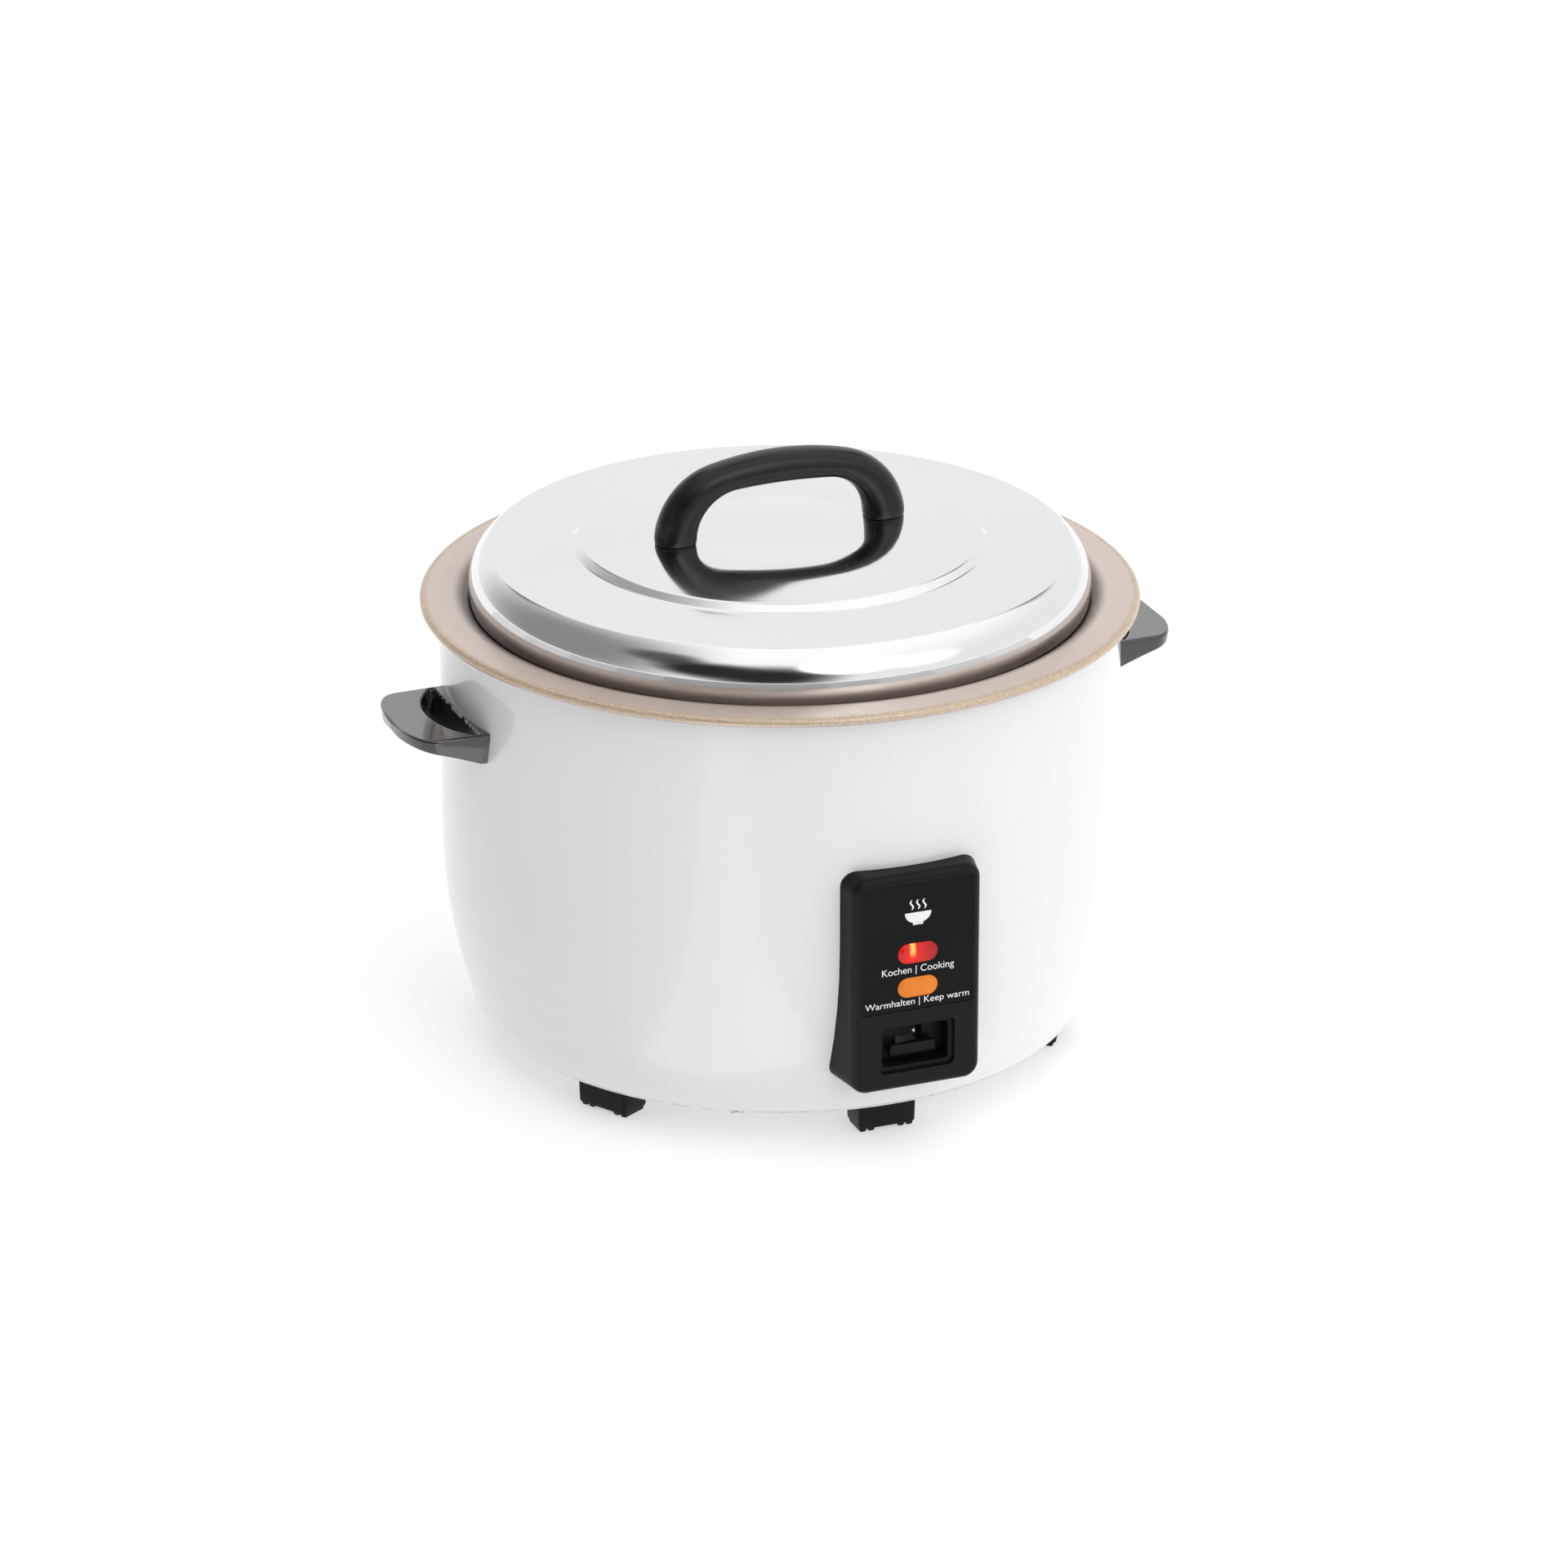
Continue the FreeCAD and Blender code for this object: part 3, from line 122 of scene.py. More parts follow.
def stadium(half, half_height, height, inset=0.0):
    """A straight-sided oval, centred across at a height."""
    half, half_height = half - inset, half_height - inset
    straight = half - half_height
    count = 20
    points = []
    for side, first in ((1, -90), (-1, 90)):
        for i in range(count + 1):
            angle = math.radians(first + 180 * i / count)
            points.append((side * straight + half_height * math.cos(angle),
                           height + half_height * math.sin(angle)))
    return points


# ---- Meshes ----

def piece_of(name, vertices, faces, body, slot, material, replaced=(), sharp=38):
    """A finished piece from millimetre vertices: smooth but for its sharp edges, riding on its body."""
    mesh = bpy.data.meshes.new(name)
    mesh.from_pydata([tuple(c * MM for c in v) for v in vertices], [], faces)
    mesh.update()
    mesh.validate()
    mesh.shade_smooth()
    mesh.set_sharp_from_angle(angle=math.radians(sharp))
    mesh.materials.append(material)
    piece = bpy.data.objects.new(name, mesh)
    bpy.context.scene.collection.objects.link(piece)
    if replaced:
        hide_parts(*replaced)
    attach(piece, body)
    return piece


def apply_modifiers(piece):
    """Bakes the piece's modifiers into its mesh."""
    graph = bpy.context.evaluated_depsgraph_get()
    mesh = bpy.data.meshes.new_from_object(piece.evaluated_get(graph))
    piece.modifiers.clear()
    piece.data = mesh


def lathe(profile, segments=SEGMENTS, hole=None):
    """Vertices and faces of a profile (radius, height) turned about the Z axis.

    hole(angle in degrees, height) says which faces of the skin are left out.
    """
    vertices, rings = [], []
    for radius, height in profile:
        if radius < 1e-6:
            rings.append([len(vertices)])
            vertices.append((0, 0, height))
            continue
        rings.append(range(len(vertices), len(vertices) + segments))
        vertices += [(radius * math.cos(TURN * i / segments), radius * math.sin(TURN * i / segments), height)
                     for i in range(segments)]
    faces = []
    for k, (low, high) in enumerate(zip(rings, rings[1:])):
        middle = (profile[k][1] + profile[k + 1][1]) / 2
        for i in range(segments):
            j = (i + 1) % segments
            if hole and hole(360 * (i + 0.5) / segments, middle):
                continue
            if len(low) == 1:
                faces.append((low[0], high[j], high[i]))
            elif len(high) == 1:
                faces.append((low[i], low[j], high[0]))
            else:
                faces.append((low[i], low[j], high[j], high[i]))
    return vertices, faces


def bridge(loops, cap_first=False, cap_last=False):
    """Faces between closed loops of equally many vertices."""
    vertices, faces = [], []
    count = len(loops[0])
    for loop in loops:
        vertices += loop
    for k in range(len(loops) - 1):
        for i in range(count):
            j = (i + 1) % count
            faces.append((k * count + i, k * count + j, (k + 1) * count + j, (k + 1) * count + i))
    if cap_first:
        faces.append(tuple(reversed(range(count))))
    if cap_last:
        faces.append(tuple(range((len(loops) - 1) * count, len(loops) * count)))
    return vertices, faces


def joined(*parts):
    """Several parts, each its vertices and faces, as one."""
    vertices, faces = [], []
    for more_vertices, more_faces in parts:
        start = len(vertices)
        vertices += more_vertices
        faces += [tuple(start + i for i in face) for face in more_faces]
    return vertices, faces


def turned_about_z(part, angle):
    """A part's vertices and faces, turned by an angle in degrees."""
    vertices, faces = part
    cosine, sine = math.cos(math.radians(angle)), math.sin(math.radians(angle))
    return [(x * cosine - y * sine, x * sine + y * cosine, z) for x, y, z in vertices], faces


def at_front(points, front):
    """An outline in X and Z, put in the plane y = -front."""
    return [(x, -front, z) for x, z in points]


def flat_face(outline, holes, front):
    """A flat face in the plane y = -front with holes in it."""
    points = [Vector(p) for p in outline]
    loops = [list(range(len(points)))]
    for hole in holes:
        loops.append(list(range(len(points), len(points) + len(hole))))
        points += [Vector(p) for p in hole]
    edges = [(loop[i], loop[(i + 1) % len(loop)]) for loop in loops for i in range(len(loop))]
    made, _, triangles, _, _, _ = delaunay_2d_cdt(points, edges, [], 0, 1e-5)

    def is_inside(point, loop):
        inside = False
        for (x1, y1), (x2, y2) in zip(loop, loop[1:] + loop[:1]):
            if (y1 > point.y) != (y2 > point.y) and point.x < (x2 - x1) * (point.y - y1) / (y2 - y1) + x1:
                inside = not inside
        return inside

    faces = []
    for triangle in triangles:
        middle = sum((made[i] for i in triangle), Vector((0, 0))) / 3
        if is_inside(middle, outline) and not any(is_inside(middle, hole) for hole in holes):
            faces.append(tuple(triangle))
    return [(p.x, -front, p.y) for p in made], faces


# ---- Materials ----

class Nodes:
    """A material's node tree, with the few kinds of node that the finishes are made of."""

    def __init__(self, name):
        self.material = bpy.data.materials.new(name)
        self.material.use_nodes = True
        self.tree = self.material.node_tree
        self.shader = next(n for n in self.tree.nodes if n.type == "BSDF_PRINCIPLED")
        self.place = self.add("ShaderNodeTexCoord").outputs["Object"]

    def add(self, kind, **settings):
        made = self.tree.nodes.new(kind)
        for name, value in settings.items():
            setattr(made, name, value)
        return made

    def feed(self, made, **inputs):
        """Sets or links a node's inputs, named by their label with _ for a space, or by number as i0, i1."""
        for name, value in inputs.items():
            key = int(name[1:]) if name[0] == "i" and name[1:].isdigit() else name.replace("_", " ")
            socket = made.inputs[key]
            if isinstance(value, bpy.types.NodeSocket):
                self.tree.links.new(value, socket)
            else:
                socket.default_value = value
        return made

    def noise(self, scale, detail=2.0, vector=None, roughness=0.5):
        made = self.feed(self.add("ShaderNodeTexNoise"), Vector=vector or self.place, Scale=scale,
                         Detail=detail, Roughness=roughness)
        return made.outputs["Fac"]

    def ramp(self, value, low, high, to_low=0.0, to_high=1.0, smooth=False):
        made = self.add("ShaderNodeMapRange", interpolation_type="SMOOTHSTEP" if smooth else "LINEAR")
        self.feed(made, i0=value, i1=low, i2=high, i3=to_low, i4=to_high)
        return made.outputs[0]

    def math(self, operation, *values):
        made = self.add("ShaderNodeMath", operation=operation)
        self.feed(made, **{f"i{i}": value for i, value in enumerate(values)})
        return made.outputs[0]

    def mix(self, share, first, second):
        made = self.add("ShaderNodeMix", data_type="RGBA")
        self.feed(made, i0=share, i6=first, i7=second)
        return made.outputs[2]

    def parts(self):
        """The object's own coordinates, in metres."""
        return self.feed(self.add("ShaderNodeSeparateXYZ"), i0=self.place).outputs

    def radius(self, x, y):
        return self.math("SQRT", self.math("ADD", self.math("MULTIPLY", x, x), self.math("MULTIPLY", y, y)))

    def spun(self):
        """Coordinates that are the same all round the Z axis, so a texture runs in rings."""
        x, y, z = self.parts()
        return self.feed(self.add("ShaderNodeCombineXYZ"), X=self.radius(x, y), Y=0.0, Z=z).outputs[0]

    def bump(self, height, strength, distance, under=None):
        made = self.feed(self.add("ShaderNodeBump"), Height=height, Strength=strength, Distance=distance)
        if under:
            self.feed(made, Normal=under)
        return made.outputs[0]

    def edges(self):
        """1 on sharp outer edges and 0 on flats."""
        return self.ramp(self.add("ShaderNodeNewGeometry").outputs["Pointiness"], 0.52, 0.62)


def shade(color, factor):
    """A colour made lighter or darker, with full opacity."""
    return tuple(min(1.0, c * factor) for c in color[:3]) + (1.0,)


def finish(name, color, roughness, metallic=0.0, coat=0.0, coat_roughness=0.03, specular=0.5,
           mottle=(18.0, 0.05), grain=(900.0, 0.15, 0.00008), spread=0.06, wear=None, spun=None, extra=None):
    """A procedural finish: mottled colour, uneven roughness, fine grain and worn edges.

    mottle is a scale and an amount, grain a scale, strength and depth, and spun the same for rings.
    spread is how far the roughness strays, wear the colour of worn edges, and extra adds more nodes.
    """
    n = Nodes(name)
    patches = n.noise(mottle[0], 3.0)
    base = n.mix(n.ramp(patches, 0.3, 0.7), shade(color, 1 - mottle[1]), shade(color, 1 + mottle[1]))
    rough = n.ramp(n.noise(mottle[0] * 3.1, 4.0), 0.3, 0.7, roughness - spread, roughness + spread)
    if wear:
        worn = n.math("MULTIPLY", n.edges(), n.ramp(n.noise(220.0, 4.0), 0.35, 0.65))
        base = n.mix(worn, base, wear + (1.0,))
    normal = n.bump(n.noise(grain[0], 2.0), grain[1], grain[2])
    if spun:
        rings = n.noise(spun[0], 3.0, n.spun(), 0.6)
        normal = n.bump(rings, spun[1], spun[2], normal)
    n.feed(n.shader, Base_Color=base, Roughness=rough, Normal=normal)
    n.shader.inputs["Metallic"].default_value = metallic
    n.shader.inputs["Coat Weight"].default_value = coat
    n.shader.inputs["Coat Roughness"].default_value = coat_roughness
    n.shader.inputs["Specular IOR Level"].default_value = specular
    if extra:
        extra(n, base)
    return n.material


def flange_speckle_and_painted_shade(n, base):
    """The pot's coating: gold speckle on the rolled edge, rose on the flange, and dark brown painted shade
    from the mouth down towards the floor.
    """
    x, y, z = n.parts()
    radius = n.radius(x, y)
    speckle = n.ramp(n.noise(1500.0, 2.0), 0.44, 0.62)
    gold = n.mix(speckle, (0.50, 0.37, 0.26, 1.0), (0.72, 0.59, 0.44, 1.0))
    edge = n.ramp(radius, 0.1905, 0.1917, smooth=True)
    flange = n.mix(edge, base, gold)
    under = n.mix(n.ramp(z, 0.2522, 0.2534), (0.46, 0.40, 0.44, 1.0), flange)
    # painted shade: the mouth's curve and the pot's inside turn dark brown, standing in for the shadow in the
    # gap under the lid
    inside = n.ramp(radius, 0.1705, 0.1780, smooth=True)
    n.feed(n.shader, Base_Color=n.mix(inside, (0.10, 0.062, 0.04, 1.0), under))


def cook_glow(n, base):
    """The red lens lit from inside: a hot bar behind fine flutes, and dimmer red away from it."""
    x, _, z = n.parts()
    flutes = n.ramp(n.math("SINE", n.math("MULTIPLY", z, 9500.0)), -1.0, 1.0, 0.55, 1.0)
    away = n.math("ABSOLUTE", n.math("ADD", x, 0.0032))
    hot = n.math("MULTIPLY", n.ramp(away, 0.0007, 0.0024, 1.0, 0.0, True),
                 n.ramp(z, 0.1165, 0.1215, 0.0, 1.0, True))
    hot = n.math("MULTIPLY", hot, flutes)
    glow = n.ramp(away, 0.0, 0.0145, 0.50, 0.08, True)
    ribs = n.ramp(n.math("SINE", n.math("MULTIPLY", x, 7000.0)), -1.0, 1.0, 0.82, 1.0)
    color = n.mix(hot, (1.0, 0.022, 0.012, 1.0), (1.0, 0.62, 0.12, 1.0))
    n.feed(n.shader, Emission_Color=color,
           Emission_Strength=n.math("MULTIPLY", ribs, n.math("ADD", glow, n.math("MULTIPLY", hot, 1.1))))


def warm_lens_painted_glints(n, base):
    """The amber lens, unlit, with painted glints: a faint amber emission along its flutes stands in for the
    light they catch.
    """
    _, _, z = n.parts()
    # painted glints: the flutes give off faint amber light although this lamp is off
    flutes = n.ramp(n.math("SINE", n.math("MULTIPLY", z, 9500.0)), -1.0, 1.0, 0.06, 0.13)
    n.feed(n.shader, Emission_Color=(1.0, 0.36, 0.035, 1.0), Emission_Strength=flutes)


ENAMEL = finish("white_enamel", (0.80, 0.802, 0.802), 0.24, coat=0.7, coat_roughness=0.035,
                mottle=(5.0, 0.003), grain=(55.0, 0.03, 0.00003), spread=0.012)
STEEL = finish("bright_steel", (0.785, 0.79, 0.785), 0.07, metallic=1.0, mottle=(9.0, 0.01),
               grain=(60.0, 0.03, 0.00005), spread=0.015, spun=(1400.0, 0.08, 0.00003))
GALVANISED = finish("galvanised", (0.52, 0.53, 0.54), 0.36, metallic=1.0, mottle=(55.0, 0.16),
                    grain=(420.0, 0.2, 0.0001), spread=0.10, wear=(0.72, 0.72, 0.72))
SCREW = finish("screw_steel", (0.50, 0.50, 0.51), 0.30, metallic=1.0, mottle=(300.0, 0.12),
               grain=(1800.0, 0.25, 0.00006), spread=0.08, wear=(0.8, 0.8, 0.8))
# its extra nodes paint dark brown shade over the pot's inside and across its mouth
COATING = finish("nonstick", (0.64, 0.53, 0.465), 0.33, metallic=0.25, coat=0.25, coat_roughness=0.25,
                 mottle=(30.0, 0.015), grain=(2200.0, 0.12, 0.00003), extra=flange_speckle_and_painted_shade)
POLISHED = finish("polished_steel", (0.66, 0.66, 0.66), 0.22, metallic=1.0, mottle=(24.0, 0.05),
                  grain=(500.0, 0.1, 0.00005), spun=(900.0, 0.15, 0.00006))
PLASTIC = finish("black_plastic", (0.0060, 0.0060, 0.0063), 0.42, specular=0.16, mottle=(35.0, 0.05),
                 grain=(2600.0, 0.32, 0.00007), spread=0.012)
ARCH = finish("arch_plastic", (0.009, 0.009, 0.0095), 0.27, specular=0.32, mottle=(30.0, 0.12),
              grain=(1900.0, 0.2, 0.00005), spread=0.04, wear=(0.04, 0.04, 0.04))
GLOSS = finish("gloss_black", (0.010, 0.010, 0.0105), 0.16, coat=1.0, coat_roughness=0.02,
               mottle=(20.0, 0.2), grain=(110.0, 0.035, 0.0001), spread=0.03)
SILICONE = finish("silicone", (0.10, 0.10, 0.105), 0.55, mottle=(60.0, 0.1))
LABEL = finish("label_black", (0.0065, 0.0065, 0.0068), 0.34, specular=0.1, mottle=(40.0, 0.1),
               grain=(3200.0, 0.18, 0.00004), spread=0.04)
INK = finish("label_ink", (0.86, 0.86, 0.86), 0.5, mottle=(200.0, 0.03), grain=(2500.0, 0.1, 0.00003))
RED = finish("red_lens", (0.36, 0.003, 0.003), 0.12, coat=0.35, specular=0.2, mottle=(90.0, 0.1),
             grain=(500.0, 0.08, 0.00005), extra=cook_glow)
# its extra nodes paint faint glints along the flutes of this unlit lens
AMBER = finish("amber_lens", (0.72, 0.19, 0.006), 0.14, coat=0.4, specular=0.2, mottle=(90.0, 0.06),
               grain=(500.0, 0.08, 0.00005), extra=warm_lens_painted_glints)
LAMP = finish("lamp_glass", (0.80, 0.42, 0.25), 0.08, coat=1.0, mottle=(200.0, 0.05))
BOARD = finish("board", (0.38, 0.24, 0.10), 0.5, mottle=(120.0, 0.1), grain=(1200.0, 0.3, 0.0001))
SWITCH = finish("switch_plastic", (0.022, 0.022, 0.024), 0.45, mottle=(80.0, 0.1))
BRASS = finish("brass", (0.72, 0.50, 0.20), 0.25, metallic=1.0, mottle=(150.0, 0.08), spread=0.06)
PLATE = finish("plate_aluminium", (0.60, 0.60, 0.60), 0.38, metallic=1.0, mottle=(45.0, 0.06),
               grain=(650.0, 0.25, 0.00012), spun=(520.0, 0.35, 0.00012), wear=(0.8, 0.8, 0.8))
FERRITE = finish("ferrite", (0.05, 0.05, 0.052), 0.6, mottle=(200.0, 0.12), grain=(2000.0, 0.3, 0.0001))
SPRING = finish("spring_steel", (0.42, 0.42, 0.43), 0.28, metallic=1.0, mottle=(260.0, 0.1))
SHEATH = finish("element_sheath", (0.13, 0.12, 0.11), 0.5, metallic=0.8, mottle=(70.0, 0.25),
                grain=(700.0, 0.3, 0.0001))
CERAMIC = finish("ceramic", (0.78, 0.75, 0.68), 0.5, mottle=(60.0, 0.05), grain=(900.0, 0.25, 0.0001))
MICA = finish("mica", (0.40, 0.32, 0.22), 0.45, mottle=(70.0, 0.2), grain=(300.0, 0.3, 0.0002))
BROWN = finish("brown_wire", (0.16, 0.065, 0.03), 0.42, mottle=(150.0, 0.08))
BLUE = finish("blue_wire", (0.02, 0.10, 0.42), 0.42, mottle=(150.0, 0.08))
GREEN = finish("green_wire", (0.10, 0.36, 0.06), 0.42, mottle=(150.0, 0.08))

BY_SLOT = {
    "white_enamel": ENAMEL, "bright_steel": STEEL, "galvanised": GALVANISED, "screw_steel": SCREW,
    "nonstick": COATING, "polished_steel": POLISHED, "black_plastic": PLASTIC, "gloss_black": GLOSS,
    "silicone": SILICONE, "label_black": LABEL, "red_lens": RED, "amber_lens": AMBER, "lamp_glass": LAMP,
    "board": BOARD, "switch_plastic": SWITCH, "brass": BRASS, "plate_aluminium": PLATE, "ferrite": FERRITE,
    "spring_steel": SPRING, "element_sheath": SHEATH, "ceramic": CERAMIC, "mica": MICA,
    "brown_wire": BROWN, "blue_wire": BLUE, "green_wire": GREEN,
}
for cad_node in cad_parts.values():
    for material_slot in cad_node.material_slots:
        material_slot.material = BY_SLOT.get(material_slot.material.name.split(".")[0], GALVANISED)


# ---- Housing ----

SHELL_RADIUS, SHELL_TOP, SHELL_WALL = 185, 251, 1.2
PANEL_HOLE_HALF, PANEL_HOLE_LOW, PANEL_HOLE_HIGH = 22, 51.9, 147.9
SHELL_SIDE = traced([(165, 20), (172, 34, 46, "left"), (185, 122, 302, "left")])


def between(points, at, key):
    """The other coordinate of a profile where its coordinate number key has a value."""
    other = 1 - key
    for start, end in zip(points, points[1:]):
        if start[key] <= at <= end[key]:
            share = (at - start[key]) / max(end[key] - start[key], 1e-9)
            return start[other] + (end[other] - start[other]) * share
    return points[0][other] if at < points[0][key] else points[-1][other]


def shell_radius_at(height):
    """The housing's outer radius at a height: straight wall, belly arc, heel arc."""
    return SHELL_RADIUS if height >= 122 else between(SHELL_SIDE, height, 1)


def housing():
    """The enamelled shell, from the hem under the heel to the rolled top edge, open behind the panel."""
    skin = [(157, 20)] + SHELL_SIDE + traced([(185, 249), (183, 251, 2, "left"), (175, 251)])
    skin = softened(skin, 1.2)
    levels = []
    for start, end in zip(skin, skin[1:]):
        levels.append(start)
        for cut in (PANEL_HOLE_LOW, PANEL_HOLE_HIGH):
            if start[1] < cut < end[1]:
                share = (cut - start[1]) / (end[1] - start[1])
                levels.append((start[0] + (end[0] - start[0]) * share, cut))
    levels.append(skin[-1])
    levels = supported(levels)
    half_angle = math.degrees(PANEL_HOLE_HALF / SHELL_RADIUS)

    def hole(angle, height):
        behind_panel = abs((angle - 270 + 180) % 360 - 180) < half_angle
        behind_inlet = abs((angle - 90 + 180) % 360 - 180) < 4.7
        return (behind_panel and PANEL_HOLE_LOW < height < PANEL_HOLE_HIGH
                or behind_inlet and 30 < height < 50)

    vertices, faces = lathe(levels, 360, hole=hole)
    shell = piece_of("housing", vertices, faces, "cooker", "white_enamel", ENAMEL, ["housing_shell"])
    thick = shell.modifiers.new("wall", "SOLIDIFY")
    thick.thickness = SHELL_WALL * MM
    thick.offset = -1
    thick.use_even_offset = True
    apply_modifiers(shell)


# ---- Pot ----

def pot():
    """The pot: a flat floor, a rounded heel, a straight wall and a flange that ends in a rolled edge."""
    rim, top, bead, wall = 195, 256.5, 2.5, 2
    centre = rim - bead
    inner_under = centre - math.sqrt(bead**2 - (bead - wall) ** 2)
    profile = traced([
        (0, 84), (137, 84), (165, 112, 28, "left"), (165, 242.2), (177.3, 254.5, 12.3, "right"),
        (inner_under, 254.5), (centre, top - 2 * bead, bead, "left"), (rim, top - bead, bead, "left"),
        (centre, top, bead, "left"), (177.3, top), (163, 242.2, 14.3, "left"), (163, 112),
        (137, 86, 26, "right"), (0, 86),
    ])
    vertices, faces = lathe(supported(profile))
    piece_of("pot", vertices, faces, "pot", "nonstick", COATING, ["inner_pot"])


# ---- Lid ----

CROWN = [(0, 287.3)] + arc((0, 287.3), (52, 290.5), 424, "left", 0.25)
CROWN += arc((52, 290.5), (79, 289.85), 220, "right", 0.3)
CROWN += arc((79, 289.85), (108.7, 287.9), 750, "left", 0.1)


def crown_height(radius):
    """The lid's height near its middle: a dish in a low crown, with the crease between them pressed soft."""
    around_it = [between(CROWN, abs(radius + shift), 0) for shift in (-3, -2, -1, 0, 1, 2, 3)]
    return sum(around_it) / len(around_it)


def lid():
    """The lid: a dished crown, a step down to a flat ring, a round shoulder and a skirt that necks in."""
    wall = 1.0
    outside = [(r, crown_height(r)) for r in range(0, 105, 2)]
    outside += [(108.7, 287.9), (112.9, 284.3), (158, 282)]
    outside += arc(outside[-1], (168.6, 262.1), 24, "right", 1.5)
    outside += [(168, 253.5), (162, 249.5), (162, 243)]
    outside = softened(outside, 0.6, least=16)
    vertices, faces = lathe(supported(outside, 0.5), 360)
    cover = piece_of("lid_cover", vertices, faces, "lid", "bright_steel", STEEL, ["lid"], sharp=60)
    thick = cover.modifiers.new("wall", "SOLIDIFY")
    thick.thickness = wall * MM
    thick.offset = 1
    apply_modifiers(cover)


def lid_handle():
    """The arch: a drop-shaped section, round outside and creased inside, carried from foot to foot."""
    outer_foot, inner_foot = 290.6, 290.4
    outer = [(-72, outer_foot)] + arc((-72, outer_foot), (-40, 331), 42.46, "right", 2)
    outer += arc((-40, 331), (40, 331), 162.5, "right", 1.2)
    outer += arc((40, 331), (72, outer_foot), 42.46, "right", 2)
    inner = [(-49, inner_foot)] + arc((-49, inner_foot), (-26, 317.5), 24.98, "right", 2)
    inner += arc((-26, 317.5), (26, 317.5), 376, "right", 0.4)
    inner += arc((26, 317.5), (49, inner_foot), 24.98, "right", 2)
    stations = 110

    def even(points):
        lengths = [0.0]
        for a, b in zip(points, points[1:]):
            lengths.append(lengths[-1] + (Vector(b) - Vector(a)).length)
        made, k = [], 0
        for i in range(stations + 1):
            at = lengths[-1] * i / stations
            while k < len(points) - 2 and lengths[k + 1] < at:
                k += 1
            share = (at - lengths[k]) / (lengths[k + 1] - lengths[k])
            made.append(Vector(points[k]).lerp(Vector(points[k + 1]), min(share, 1)))
        return made

    half = 10.5
    section = []
    fat = 0.50
    for i in range(15):
        angle = math.pi / 2 * i / 14
        section.append((fat + (1 - fat) * math.cos(angle) ** 0.92, half * math.sin(angle) ** 0.92))
    section += [(0.42, 10.42), (0.33, 10.1), (0.25, 9.55), (0.18, 8.85), (0.125, 8.1), (0.09, 7.45),
                (0.068, 6.85), (0.05, 6.0), (0.03, 4.6), (0.012, 2.6), (0.0, 0.0)]
    mirrored = [(u, -y) for u, y in reversed(section[1:-1])]
    loop = section + mirrored
    rings = []
    outside, inside = even(outer), even(inner)
    for i, (far, near) in enumerate(zip(outside, inside)):
        edge = min(i, stations - i)
        inset = (0.5, 0.2, 0.05)[edge] if edge < 3 else 0.0
        across = far - near
        near, far = near + across.normalized() * inset, far - across.normalized() * inset
        rings.append([
            (near.x + (far.x - near.x) * u, y * (half - inset) / half, near.y + (far.y - near.y) * u)
            for u, y in loop
        ])
    for end in (0, -1):
        rings[end] = [(x, y, crown_height(math.hypot(x, y)) + 0.3) for x, y, _ in rings[end]]
    vertices, faces = bridge(rings, cap_first=True, cap_last=True)
    piece_of("arch_handle", vertices, [tuple(reversed(f)) for f in faces], "lid", "black_plastic", ARCH,
             ["lid_handle"], sharp=50)


# ---- Side handles ----

